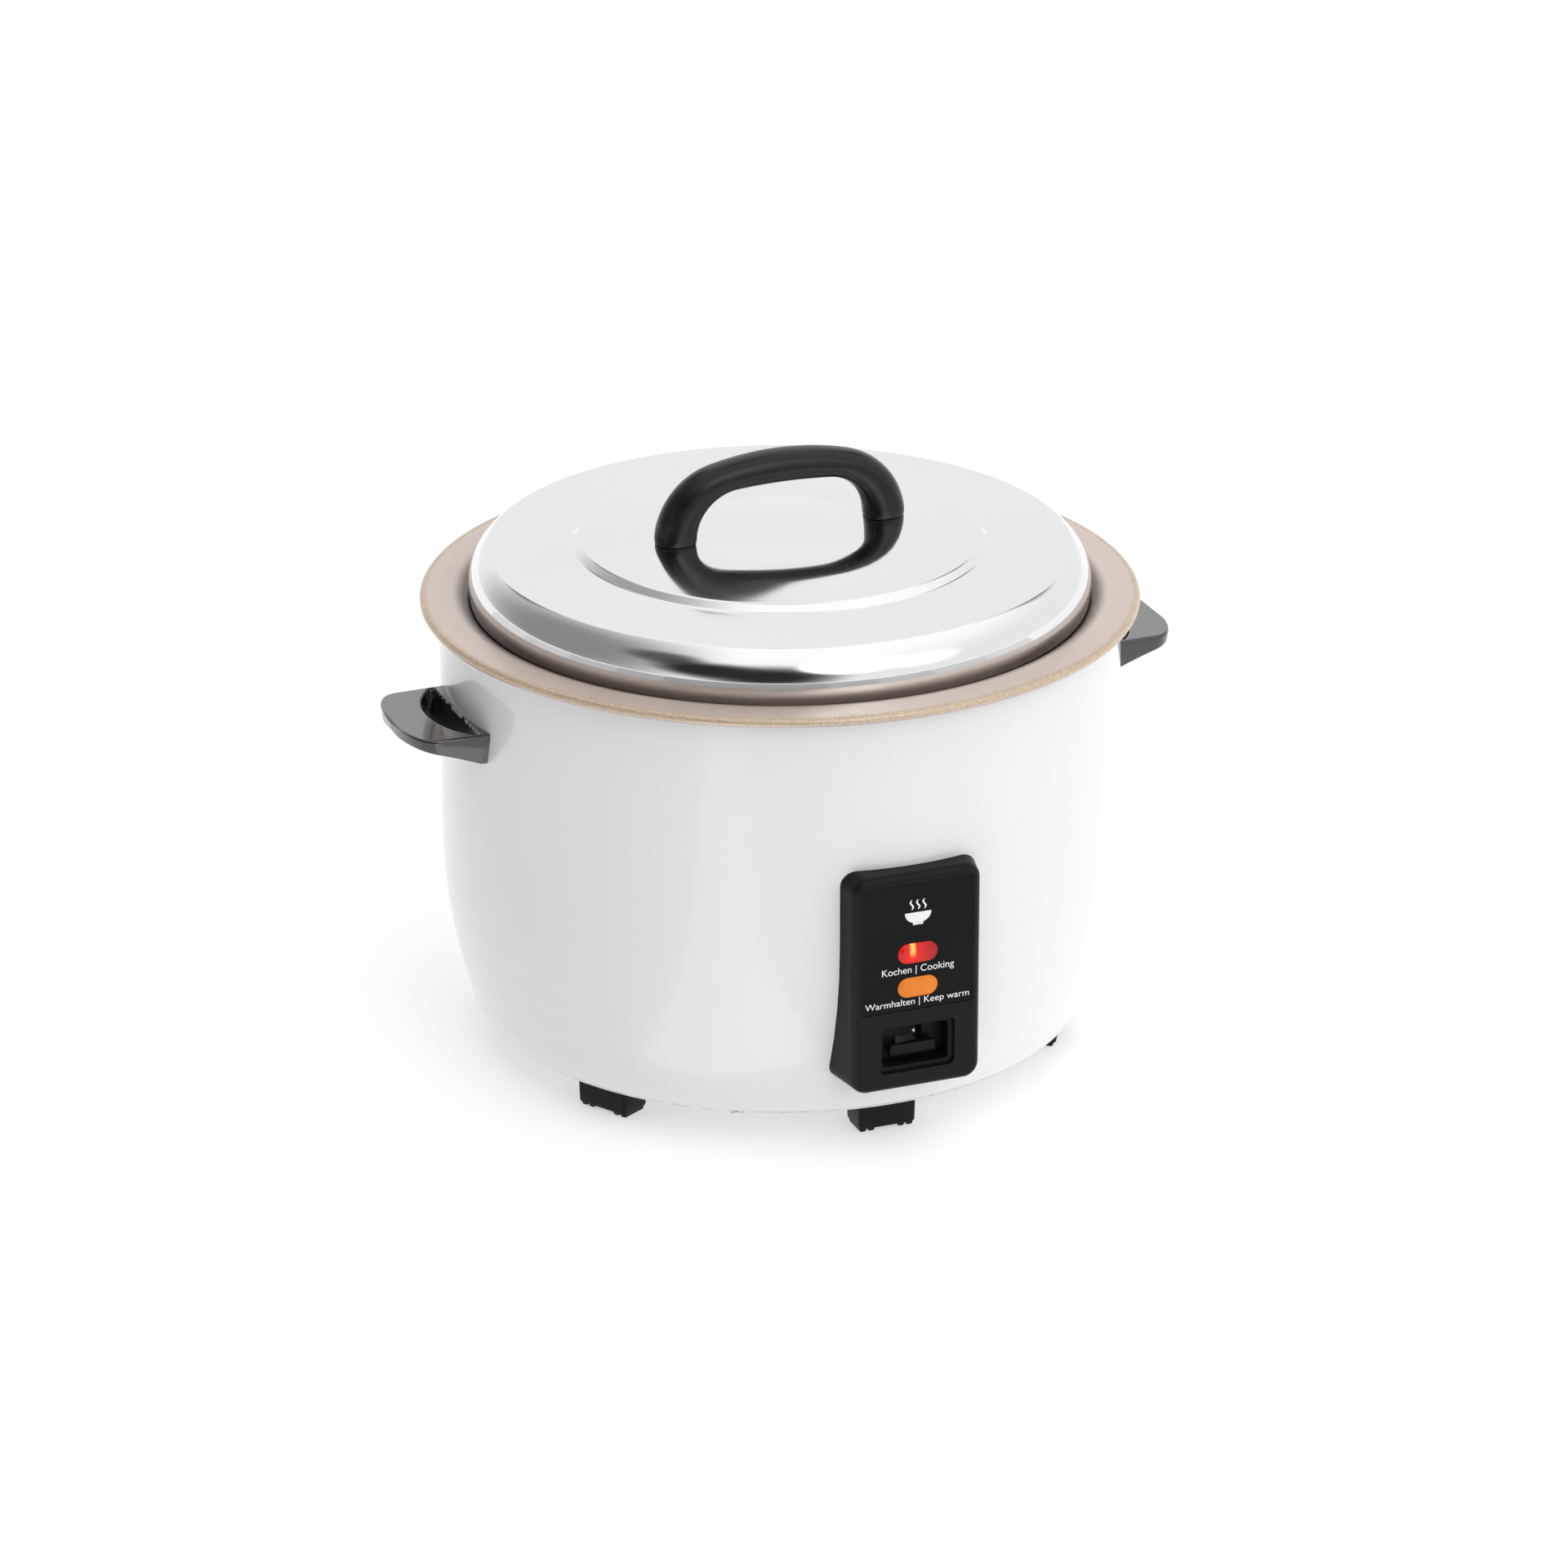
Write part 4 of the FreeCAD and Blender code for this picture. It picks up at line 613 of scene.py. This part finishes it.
def side_handle(side, name):
    """A moulded grip: flat on top with a deep scoop by the wall, thin at the nose and thick at the root."""
    top, nose, shoulder = 212, 223.9, 206
    rows, columns = 84, 96

    def plan_half(x):
        """Half the grip's width at a distance from the axis."""
        if x <= shoulder:
            return 39 - 0.7 * (x - 178) / 28
        share = min(1, (x - shoulder) / (nose - shoulder))
        return 38.3 * (1 - share**2.6) ** (1 / 2.2)

    def under_of(x, y):
        """The height of the underside, which drops to the root and swells round the screws."""
        flare = max(0.0, (224 - x) / 39)
        base = 206.3 - 12.4 * min(1.0, flare) ** 1.35
        reach = max(0.0, 1 - ((x - 184) / 21) ** 2) if x > 184 else 1.0
        bulge = 4.2 * reach**0.5 * max(0.0, 1 - (y / 30) ** 4) ** 0.5
        return base - bulge

    def scoop(x, y):
        """How deep the scoop is, from the distance inside its rounded D."""
        limit = 203.5 - 13.5 * (abs(y) / 36.5) ** 2.2
        inside = min(limit - x, (36.6 - abs(y)) * 1.3)
        back = x - 186.2
        front_wall = min(1.0, max(0.0, inside / 3.2))
        back_wall = min(1.0, max(0.0, back / 9.0))
        smooth = front_wall * front_wall * (3 - 2 * front_wall)
        return 11.0 * smooth * math.sin(back_wall * math.pi / 2) ** 0.8

    def wall_x(y, z):
        """How far out the housing's wall is, with a hair's gap."""
        return math.sqrt(max(shell_radius_at(z) ** 2 - y**2, 0)) + 0.05

    def rounding(radius, edge):
        """How far a rounded edge falls away at a distance inside the outline."""
        return radius - math.sqrt(max(0.0, radius**2 - max(0.0, radius - edge) ** 2))

    grid_top, grid_low = [], []
    for i in range(rows + 1):
        line_top, line_low = [], []
        outward = (i / rows) ** 0.9
        for j in range(columns + 1):
            lateral = math.sin(math.pi / 2 * (2 * j / columns - 1))
            rough_x = SHELL_RADIUS + (nose - SHELL_RADIUS) * outward
            start = wall_x(plan_half(rough_x) * lateral, 205)
            x = start + (nose - start) * outward
            half = plan_half(x)
            y = half * lateral
            edge = half - abs(y)
            if x > shoulder:
                edge = min(edge, (nose - x) * 1.2)
            edge = max(edge, 0.0)
            line_top.append((x, y, top - scoop(x, y) - rounding(1.6, edge)))
            low = under_of(x, y) + rounding(1.4, edge)
            draft = 1 - 0.10 * (top - low) / 20 if i < rows else 1
            line_low.append((x, y * draft, low))
        grid_top.append(line_top)
        grid_low.append(line_low)
    vertices = [p for line in grid_top for p in line] + [p for line in grid_low for p in line]
    width = columns + 1
    start = (rows + 1) * width
    faces = []
    for i in range(rows):
        for j in range(columns):
            a = i * width + j
            faces.append((a, a + width, a + width + 1, a + 1))
            faces.append((start + a, start + a + 1, start + a + width + 1, start + a + width))
    rim = list(range(width)) + [i * width + columns for i in range(1, rows + 1)]
    rim += [rows * width + j for j in reversed(range(columns))]
    rim += [i * width for i in reversed(range(1, rows))]
    for a, b in zip(rim, rim[1:] + rim[:1]):
        faces.append((a, b, start + b, start + a))
    if side < 0:
        vertices = [(-x, -y, z) for x, y, z in vertices]
    piece_of(name, vertices, faces, "cooker", "gloss_black", GLOSS, [name], sharp=48)


# ---- Control panel ----

PANEL_FRONT = 195
LENS_LEVELS = {"cook": 119.8, "warm": 100.4}


def panel():
    """The panel's cover, flared back to the housing, with its label plate let into the face."""
    back, edge = 165, 3.8
    label_seat = rectangle(32, 87.3, 159.4, 2.5)
    window_hole = rectangle(21.5, 52.3, 79.7, 3.4)

    def around(inset, front):
        share = (PANEL_FRONT - front) / (PANEL_FRONT - back)
        share = share**1.25
        return rectangle(36 - inset + 6.5 * share, 42 + inset + 2 * share, 165 - inset + 3 * share,
                         8.6 - inset)

    side_front = PANEL_FRONT - edge
    steps = [side_front - (side_front - back) * k / 100 for k in range(101)]
    rows = [around(0, front) for front in steps]
    meets = []
    for i in range(len(rows[0])):
        hidden = (front for front, row in zip(steps, rows)
                  if front < math.sqrt(max(shell_radius_at(row[i][1]) ** 2 - row[i][0] ** 2, 0)) + 0.05)
        meets.append(next(hidden, back))
    loops = []
    for k in range(8):
        fronts = [meet + (side_front - meet) * k / 8 for meet in meets]
        loops.append([(*around(0, front)[i], front) for i, front in enumerate(fronts)])
    loops = [[(x, -front, z) for x, z, front in loop] for loop in loops]
    for i in range(0, 9):
        angle = math.pi / 2 * i / 8
        inset, front = edge * (1 - math.cos(angle)), PANEL_FRONT - edge * (1 - math.sin(angle))
        loops.append(at_front(around(inset, front), front))
    inner_edge = around(edge + 0.5, PANEL_FRONT)
    loops.append(at_front(inner_edge, PANEL_FRONT))
    skirt = bridge(loops)
    lens_holes = [stadium(11.3, 5.55, level, -0.15) for level in LENS_LEVELS.values()]
    face = flat_face(inner_edge, [label_seat, window_hole], PANEL_FRONT)
    seat_walls = bridge([at_front(label_seat, PANEL_FRONT), at_front(label_seat, PANEL_FRONT - 0.5)])
    seat = flat_face(label_seat, lens_holes, PANEL_FRONT - 0.5)
    window_walls = bridge([at_front(window_hole, PANEL_FRONT), at_front(window_hole, PANEL_FRONT - 4)])
    lens_walls = [bridge([at_front(hole, PANEL_FRONT - 0.5), at_front(hole, PANEL_FRONT - 3)])
                  for hole in lens_holes]
    vertices, faces = joined(skirt, face, seat_walls, seat, window_walls, *lens_walls)
    piece_of("panel_cover", vertices, faces, "cooker", "black_plastic", PLASTIC, ["control_panel"], sharp=32)

    outline = rectangle(31.75, 87.55, 159.15, 2.3)
    low, high = PANEL_FRONT - 0.5, PANEL_FRONT
    shoulder = rectangle(31.5, 87.8, 158.9, 2.05)
    plate = joined(
        bridge([at_front(outline, low), at_front(outline, high - 0.2), at_front(shoulder, high)]),
        flat_face(shoulder, lens_holes, high),
    )
    piece_of("label_plate", *plate, "cooker", "label_black", LABEL, ["panel_label"], sharp=25)


def lens(name, level, finish_used):
    """A moulded lens with a stepped rim and a crowned middle."""
    half, half_height = 11.3, 5.55
    steps = [(0.0, -7.0), (0.0, 0.15), (0.12, 0.42), (0.35, 0.55), (0.75, 0.55), (0.95, 0.42), (1.1, 0.38),
             (1.25, 0.5), (1.5, 0.82), (1.9, 1.02), (2.5, 1.14), (3.2, 1.19), (4.2, 1.2), (5.2, 1.2)]
    loops = [at_front(stadium(half, half_height, level, inset), PANEL_FRONT + proud)
             for inset, proud in steps]
    vertices, faces = bridge(loops, cap_last=True)
    piece_of(f"{name}_lens_cover", vertices, faces, "cooker", f"{'red' if name == 'cook' else 'amber'}_lens",
             finish_used, [f"{name}_lens"], sharp=60)


def window_and_paddle():
    """The lever's sunk window with the slot for its arm, and the paddle in it."""
    half, low, high, corner = 18.8, 55, 77, 3
    ledge, floor = PANEL_FRONT - 2.2, PANEL_FRONT - 12.2
    outer = rectangle(21.45, 52.35, 79.65, 3.35)
    opening = rectangle(half, low, high, corner)
    soft = rectangle(half + 0.35, low - 0.35, high + 0.35, corner + 0.35)
    slot = [(-7.5, 57), (7.5, 57), (7.5, 75), (-7.5, 75)]
    walls = bridge([at_front(outer, ledge - 3), at_front(outer, ledge)])
    rim = flat_face(outer, [soft], ledge)
    well = bridge([at_front(soft, ledge), at_front(opening, ledge - 0.35), at_front(opening, floor)])
    back = flat_face(opening, [slot], floor)
    slot_walls = bridge([at_front(slot, floor), at_front(slot, floor - 9)])
    vertices, faces = joined(walls, rim, well, back, slot_walls)
    piece_of("window_frame", vertices, faces, "cooker", "black_plastic", PLASTIC, ["lever_window"], sharp=32)

    front, behind, bottom, thick = 189.6, 186.0, 59.15, 6.5
    loops = []
    for inset, at in ((0.6, behind), (0.0, behind + 0.5), (0.0, front - 1.1), (0.3, front - 0.4),
                      (0.9, front)):
        loops.append(at_front(rectangle(13.3 - inset, bottom + inset, bottom + thick - inset, 1.3), at))
    bar = bridge(loops, cap_first=True, cap_last=True)
    piece_of("paddle", *bar, "lever", "black_plastic", PLASTIC, ["lever_paddle"], sharp=50)


def printed(text, name, width, baseline, squat=1.0):
    """White generic lettering on the label, centred, scaled to a width in millimetres."""
    curve = bpy.data.curves.new(name, "FONT")
    curve.body = text
    curve.align_x = "CENTER"
    curve.size = 0.005
    curve.extrude = 0.00002
    letters = bpy.data.objects.new(name, curve)
    bpy.context.scene.collection.objects.link(letters)
    bpy.context.view_layer.update()
    scale = width * MM / letters.dimensions.x
    letters.scale = (scale, scale * squat, 1)
    letters.rotation_euler = (math.pi / 2, 0, 0)
    letters.location = (0, -(PANEL_FRONT + 0.03) * MM, baseline * MM)
    bpy.context.view_layer.update()
    mesh = bpy.data.meshes.new_from_object(letters.evaluated_get(bpy.context.evaluated_depsgraph_get()))
    mesh.transform(letters.matrix_world)
    bpy.data.objects.remove(letters)
    mesh.materials.clear()
    mesh.materials.append(INK)
    piece = bpy.data.objects.new(name, mesh)
    bpy.context.scene.collection.objects.link(piece)
    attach(piece, "cooker")


def bowl_mark():
    """A plain pictogram of a steaming bowl."""
    height, brim, ink = 143.0, 7.5, 0.05
    bowl = [(-brim, 0), (brim, 0)] + [(brim * math.cos(a), -6.2 * math.sin(a) ** 0.9)
                                      for a in (math.pi * i / 24 for i in range(1, 24))]
    shapes = [bowl, [(-2.9, -6.0), (2.9, -6.0), (2.9, -7.1), (-2.9, -7.1)]]
    for shift in (-3.6, 0, 3.6):
        right, left = [], []
        for i in range(17):
            z = 1.6 + 5.6 * i / 16
            x = shift + 0.75 * math.sin(TURN * i / 16)
            thick = 0.55 * math.sin(math.pi * (i + 1.2) / 18.4) ** 0.5
            right.append((x + thick, z))
            left.append((x - thick, z))
        shapes.append(left[::-1] + right)
    parts = []
    for shape in shapes:
        raised = [(x, height + z) for x, z in shape]
        parts.append(bridge([at_front(raised, PANEL_FRONT), at_front(raised, PANEL_FRONT + ink)],
                            cap_last=True))
    vertices, faces = joined(*parts)
    piece_of("bowl_mark", vertices, faces, "cooker", "label_black", INK)


# ---- Feet ----

def foot(number):
    """A moulded foot, tapered a little, with ribbed pads along both ends of its sole."""
    def plan(inset, height):
        outline = rectangle(16.5 - inset, 136 + inset, 156 - inset, 2.2)
        return [(y, x, height) for x, y in outline]

    loops = [plan(0.0, 18.5), plan(0.0, 17.9), plan(0.15, 10), plan(0.3, 3.4), plan(0.7, 2.5),
             plan(1.4, 2.1)]
    block = bridge(loops, cap_last=True)
    pads = []
    for middle in (-13.4, -8.6, 8.6, 13.4):
        rings = []
        for inset, height in ((0, 2.4), (0, 0.9), (0.35, 0.3), (0.9, 0.0)):
            outline = rectangle(1.9 - inset, 138 + inset, 154 - inset, 0.9)
            rings.append([(y, x + middle, height) for x, y in outline])
        pads.append(bridge(rings, cap_last=True))
    angle = -90 + 60 * (number - 1)
    vertices, faces = turned_about_z(joined(block, *pads), angle)
    piece_of(f"foot_block_{number}", vertices, faces, "cooker", "black_plastic", PLASTIC, [f"foot_{number}"],
             sharp=40)


housing()
pot()
lid()
lid_handle()
side_handle(1, "side_handle_right")
side_handle(-1, "side_handle_left")
panel()
lens("cook", LENS_LEVELS["cook"], RED)
lens("warm", LENS_LEVELS["warm"], AMBER)
window_and_paddle()
printed("Kochen | Cooking", "cook_words", 41.0, 108.8)
printed("Warmhalten | Keep warm", "warm_words", 59.3, 90.6, 0.93)
bowl_mark()
for foot_number in range(1, 7):
    foot(foot_number)


# ---- Floor, light and camera ----

def glowing(material, level):
    """The material with a little white light of its own."""
    shader = next(n for n in material.node_tree.nodes if n.type == "BSDF_PRINCIPLED")
    shader.inputs["Emission Color"].default_value = (1.0, 1.0, 1.0, 1.0)
    shader.inputs["Emission Strength"].default_value = level
    return material


def studio():
    """A wide pale floor, lit enough to leave only a faint shadow."""
    floor_mesh = bpy.data.meshes.new("floor")
    reach = 30.0
    floor_mesh.from_pydata([(-reach, -reach, 0), (reach, -reach, 0), (reach, reach, 0), (-reach, reach, 0)],
                           [], [(0, 1, 2, 3)])
    paper = finish("floor_white", (0.62, 0.62, 0.62), 0.6, specular=0.1, mottle=(2.0, 0.004),
                   grain=(60.0, 0.02, 0.0001), spread=0.02)
    floor_mesh.materials.append(glowing(paper, 0.52))
    floor = bpy.data.objects.new("floor", floor_mesh)
    bpy.context.scene.collection.objects.link(floor)


def floor_glow(name, width):
    """A soft strip of light on the floor that shows only as a highlight up the housing's wall."""
    length, heading, watts_per_area = 1.2, -39.8, 2.2
    data = bpy.data.lights.new(name, "AREA")
    data.shape = "RECTANGLE"
    data.size, data.size_y = width, length
    data.energy = width * length * watts_per_area
    light = bpy.data.objects.new(name, data)
    start, along = around(-30.8, 0, SHELL_RADIUS * MM), around(heading, 0, 1.0)
    light.location = start + along * 0.62 + Vector((0, 0, 0.003))
    light.rotation_euler = (math.pi, 0, math.radians(heading))
    light.visible_camera = False
    light.visible_diffuse = False
    bpy.context.scene.collection.objects.link(light)


CAMERA_AZIMUTH, CAMERA_DISTANCE, CAMERA_HEIGHT = -21.8, 3.5792, 1.608
CAMERA_PITCH, CAMERA_YAW, CAMERA_LENS = 22.284, 0.036, 162.13


def grey_card(name, side, height, level):
    """A grey card on the floor in front, which shows only as the darker foot of the lid's reflections."""
    near, far = 0.85, 7.0
    turns = [CAMERA_AZIMUTH - 12 + side * (i / 16 - 1) for i in range(33)]
    corners = [around(turn, 0, near) for turn in turns] + [around(turn, 0, far) for turn in reversed(turns)]
    mesh = bpy.data.meshes.new(name)
    mesh.from_pydata([(x, y, height) for x, y, _ in corners], [], [tuple(range(len(corners)))])
    grey = finish(name, (0.02, 0.02, 0.02), 0.7, specular=0.1, mottle=(2.0, 0.02),
                  grain=(60.0, 0.02, 0.0001))
    mesh.materials.append(glowing(grey, level))
    card = bpy.data.objects.new(name, mesh)
    bpy.context.scene.collection.objects.link(card)
    card.visible_camera = False
    card.visible_diffuse = False
    card.visible_shadow = False


def around(azimuth, elevation, distance):
    """A place seen from the axis: azimuth 0 is in front of the panel, and positive is to its right."""
    a, e = math.radians(azimuth), math.radians(elevation)
    return Vector((math.sin(a) * math.cos(e), -math.cos(a) * math.cos(e), math.sin(e))) * distance


def sky():
    """A bright studio all round, dimmer to the left, with dark openings and two soft boxes.

    Each of these is a direction from the camera's azimuth, the angles where it starts to fade and has
    faded, and its brightness.
    """
    world = bpy.data.worlds.new("studio")
    bpy.context.scene.world = world
    world.use_nodes = True
    tree = world.node_tree
    background = tree.nodes["Background"]
    place = tree.nodes.new("ShaderNodeTexCoord").outputs["Generated"]

    def towards(azimuth, elevation, inner, outer):
        """1 within inner degrees of a direction, falling smoothly to 0 at outer degrees."""
        dot = tree.nodes.new("ShaderNodeVectorMath")
        dot.operation = "DOT_PRODUCT"
        tree.links.new(place, dot.inputs[0])
        dot.inputs[1].default_value = around(azimuth, elevation, 1.0)
        fade = tree.nodes.new("ShaderNodeMapRange")
        fade.interpolation_type = "SMOOTHSTEP"
        tree.links.new(dot.outputs["Value"], fade.inputs[0])
        fade.inputs[1].default_value = math.cos(math.radians(outer))
        fade.inputs[2].default_value = math.cos(math.radians(inner))
        return fade.outputs[0]

    def blend(share, first, second):
        mix = tree.nodes.new("ShaderNodeMix")
        mix.data_type = "FLOAT"
        tree.links.new(share, mix.inputs[0])
        for socket, value in ((mix.inputs[2], first), (mix.inputs[3], second)):
            if isinstance(value, bpy.types.NodeSocket):
                tree.links.new(value, socket)
            else:
                socket.default_value = value
        return mix.outputs[0]

    strength = blend(towards(0, 90, 25, 70), 1.0, 1.25)
    for azimuth, elevation, inner, outer, level in (
        (-88, 22, 12, 62, 0.3), (-50, 40, 4, 17, 0.12), (-28, 24, 8, 24, 0.03), (-4, 15, 8, 34, 0.03),
        (30, 34, 12, 21, 2.6), (55, 26, 4, 18, 1.5), (-145, 38, 4, 14, 0.15), (145, 38, 4, 14, 0.15),
        (180, 70, 3, 12, 0.3),
    ):
        strength = blend(towards(CAMERA_AZIMUTH + azimuth, elevation, inner, outer), strength, level)
    tree.links.new(strength, background.inputs["Strength"])
    background.inputs["Color"].default_value = (1.0, 1.0, 1.0, 1.0)


def camera():
    """The camera of the main view, which looks at the axis from the front left and above."""
    data = bpy.data.cameras.new("camera")
    data.lens = CAMERA_LENS
    data.sensor_width = 36
    data.clip_end = 100
    eye = bpy.data.objects.new("camera", data)
    a = math.radians(CAMERA_AZIMUTH)
    eye.location = (math.sin(a) * CAMERA_DISTANCE, -math.cos(a) * CAMERA_DISTANCE, CAMERA_HEIGHT)
    eye.rotation_euler = (math.radians(90 - CAMERA_PITCH), 0, math.radians(CAMERA_AZIMUTH - CAMERA_YAW))
    bpy.context.scene.collection.objects.link(eye)
    bpy.context.scene.camera = eye


studio()
for step, (card_side, card_level) in enumerate(((110, 0.80), (88, 0.68), (66, 0.56), (46, 0.45), (28, 0.36))):
    grey_card(f"grey_card_{step}", card_side, 0.002 + 0.001 * step, card_level)
sky()
camera()
for strip, strip_width in (("narrow", 0.05), ("middle", 0.10), ("wide", 0.16)):
    floor_glow(f"floor_glow_{strip}", strip_width)
bpy.context.scene.view_settings.view_transform = "Standard"
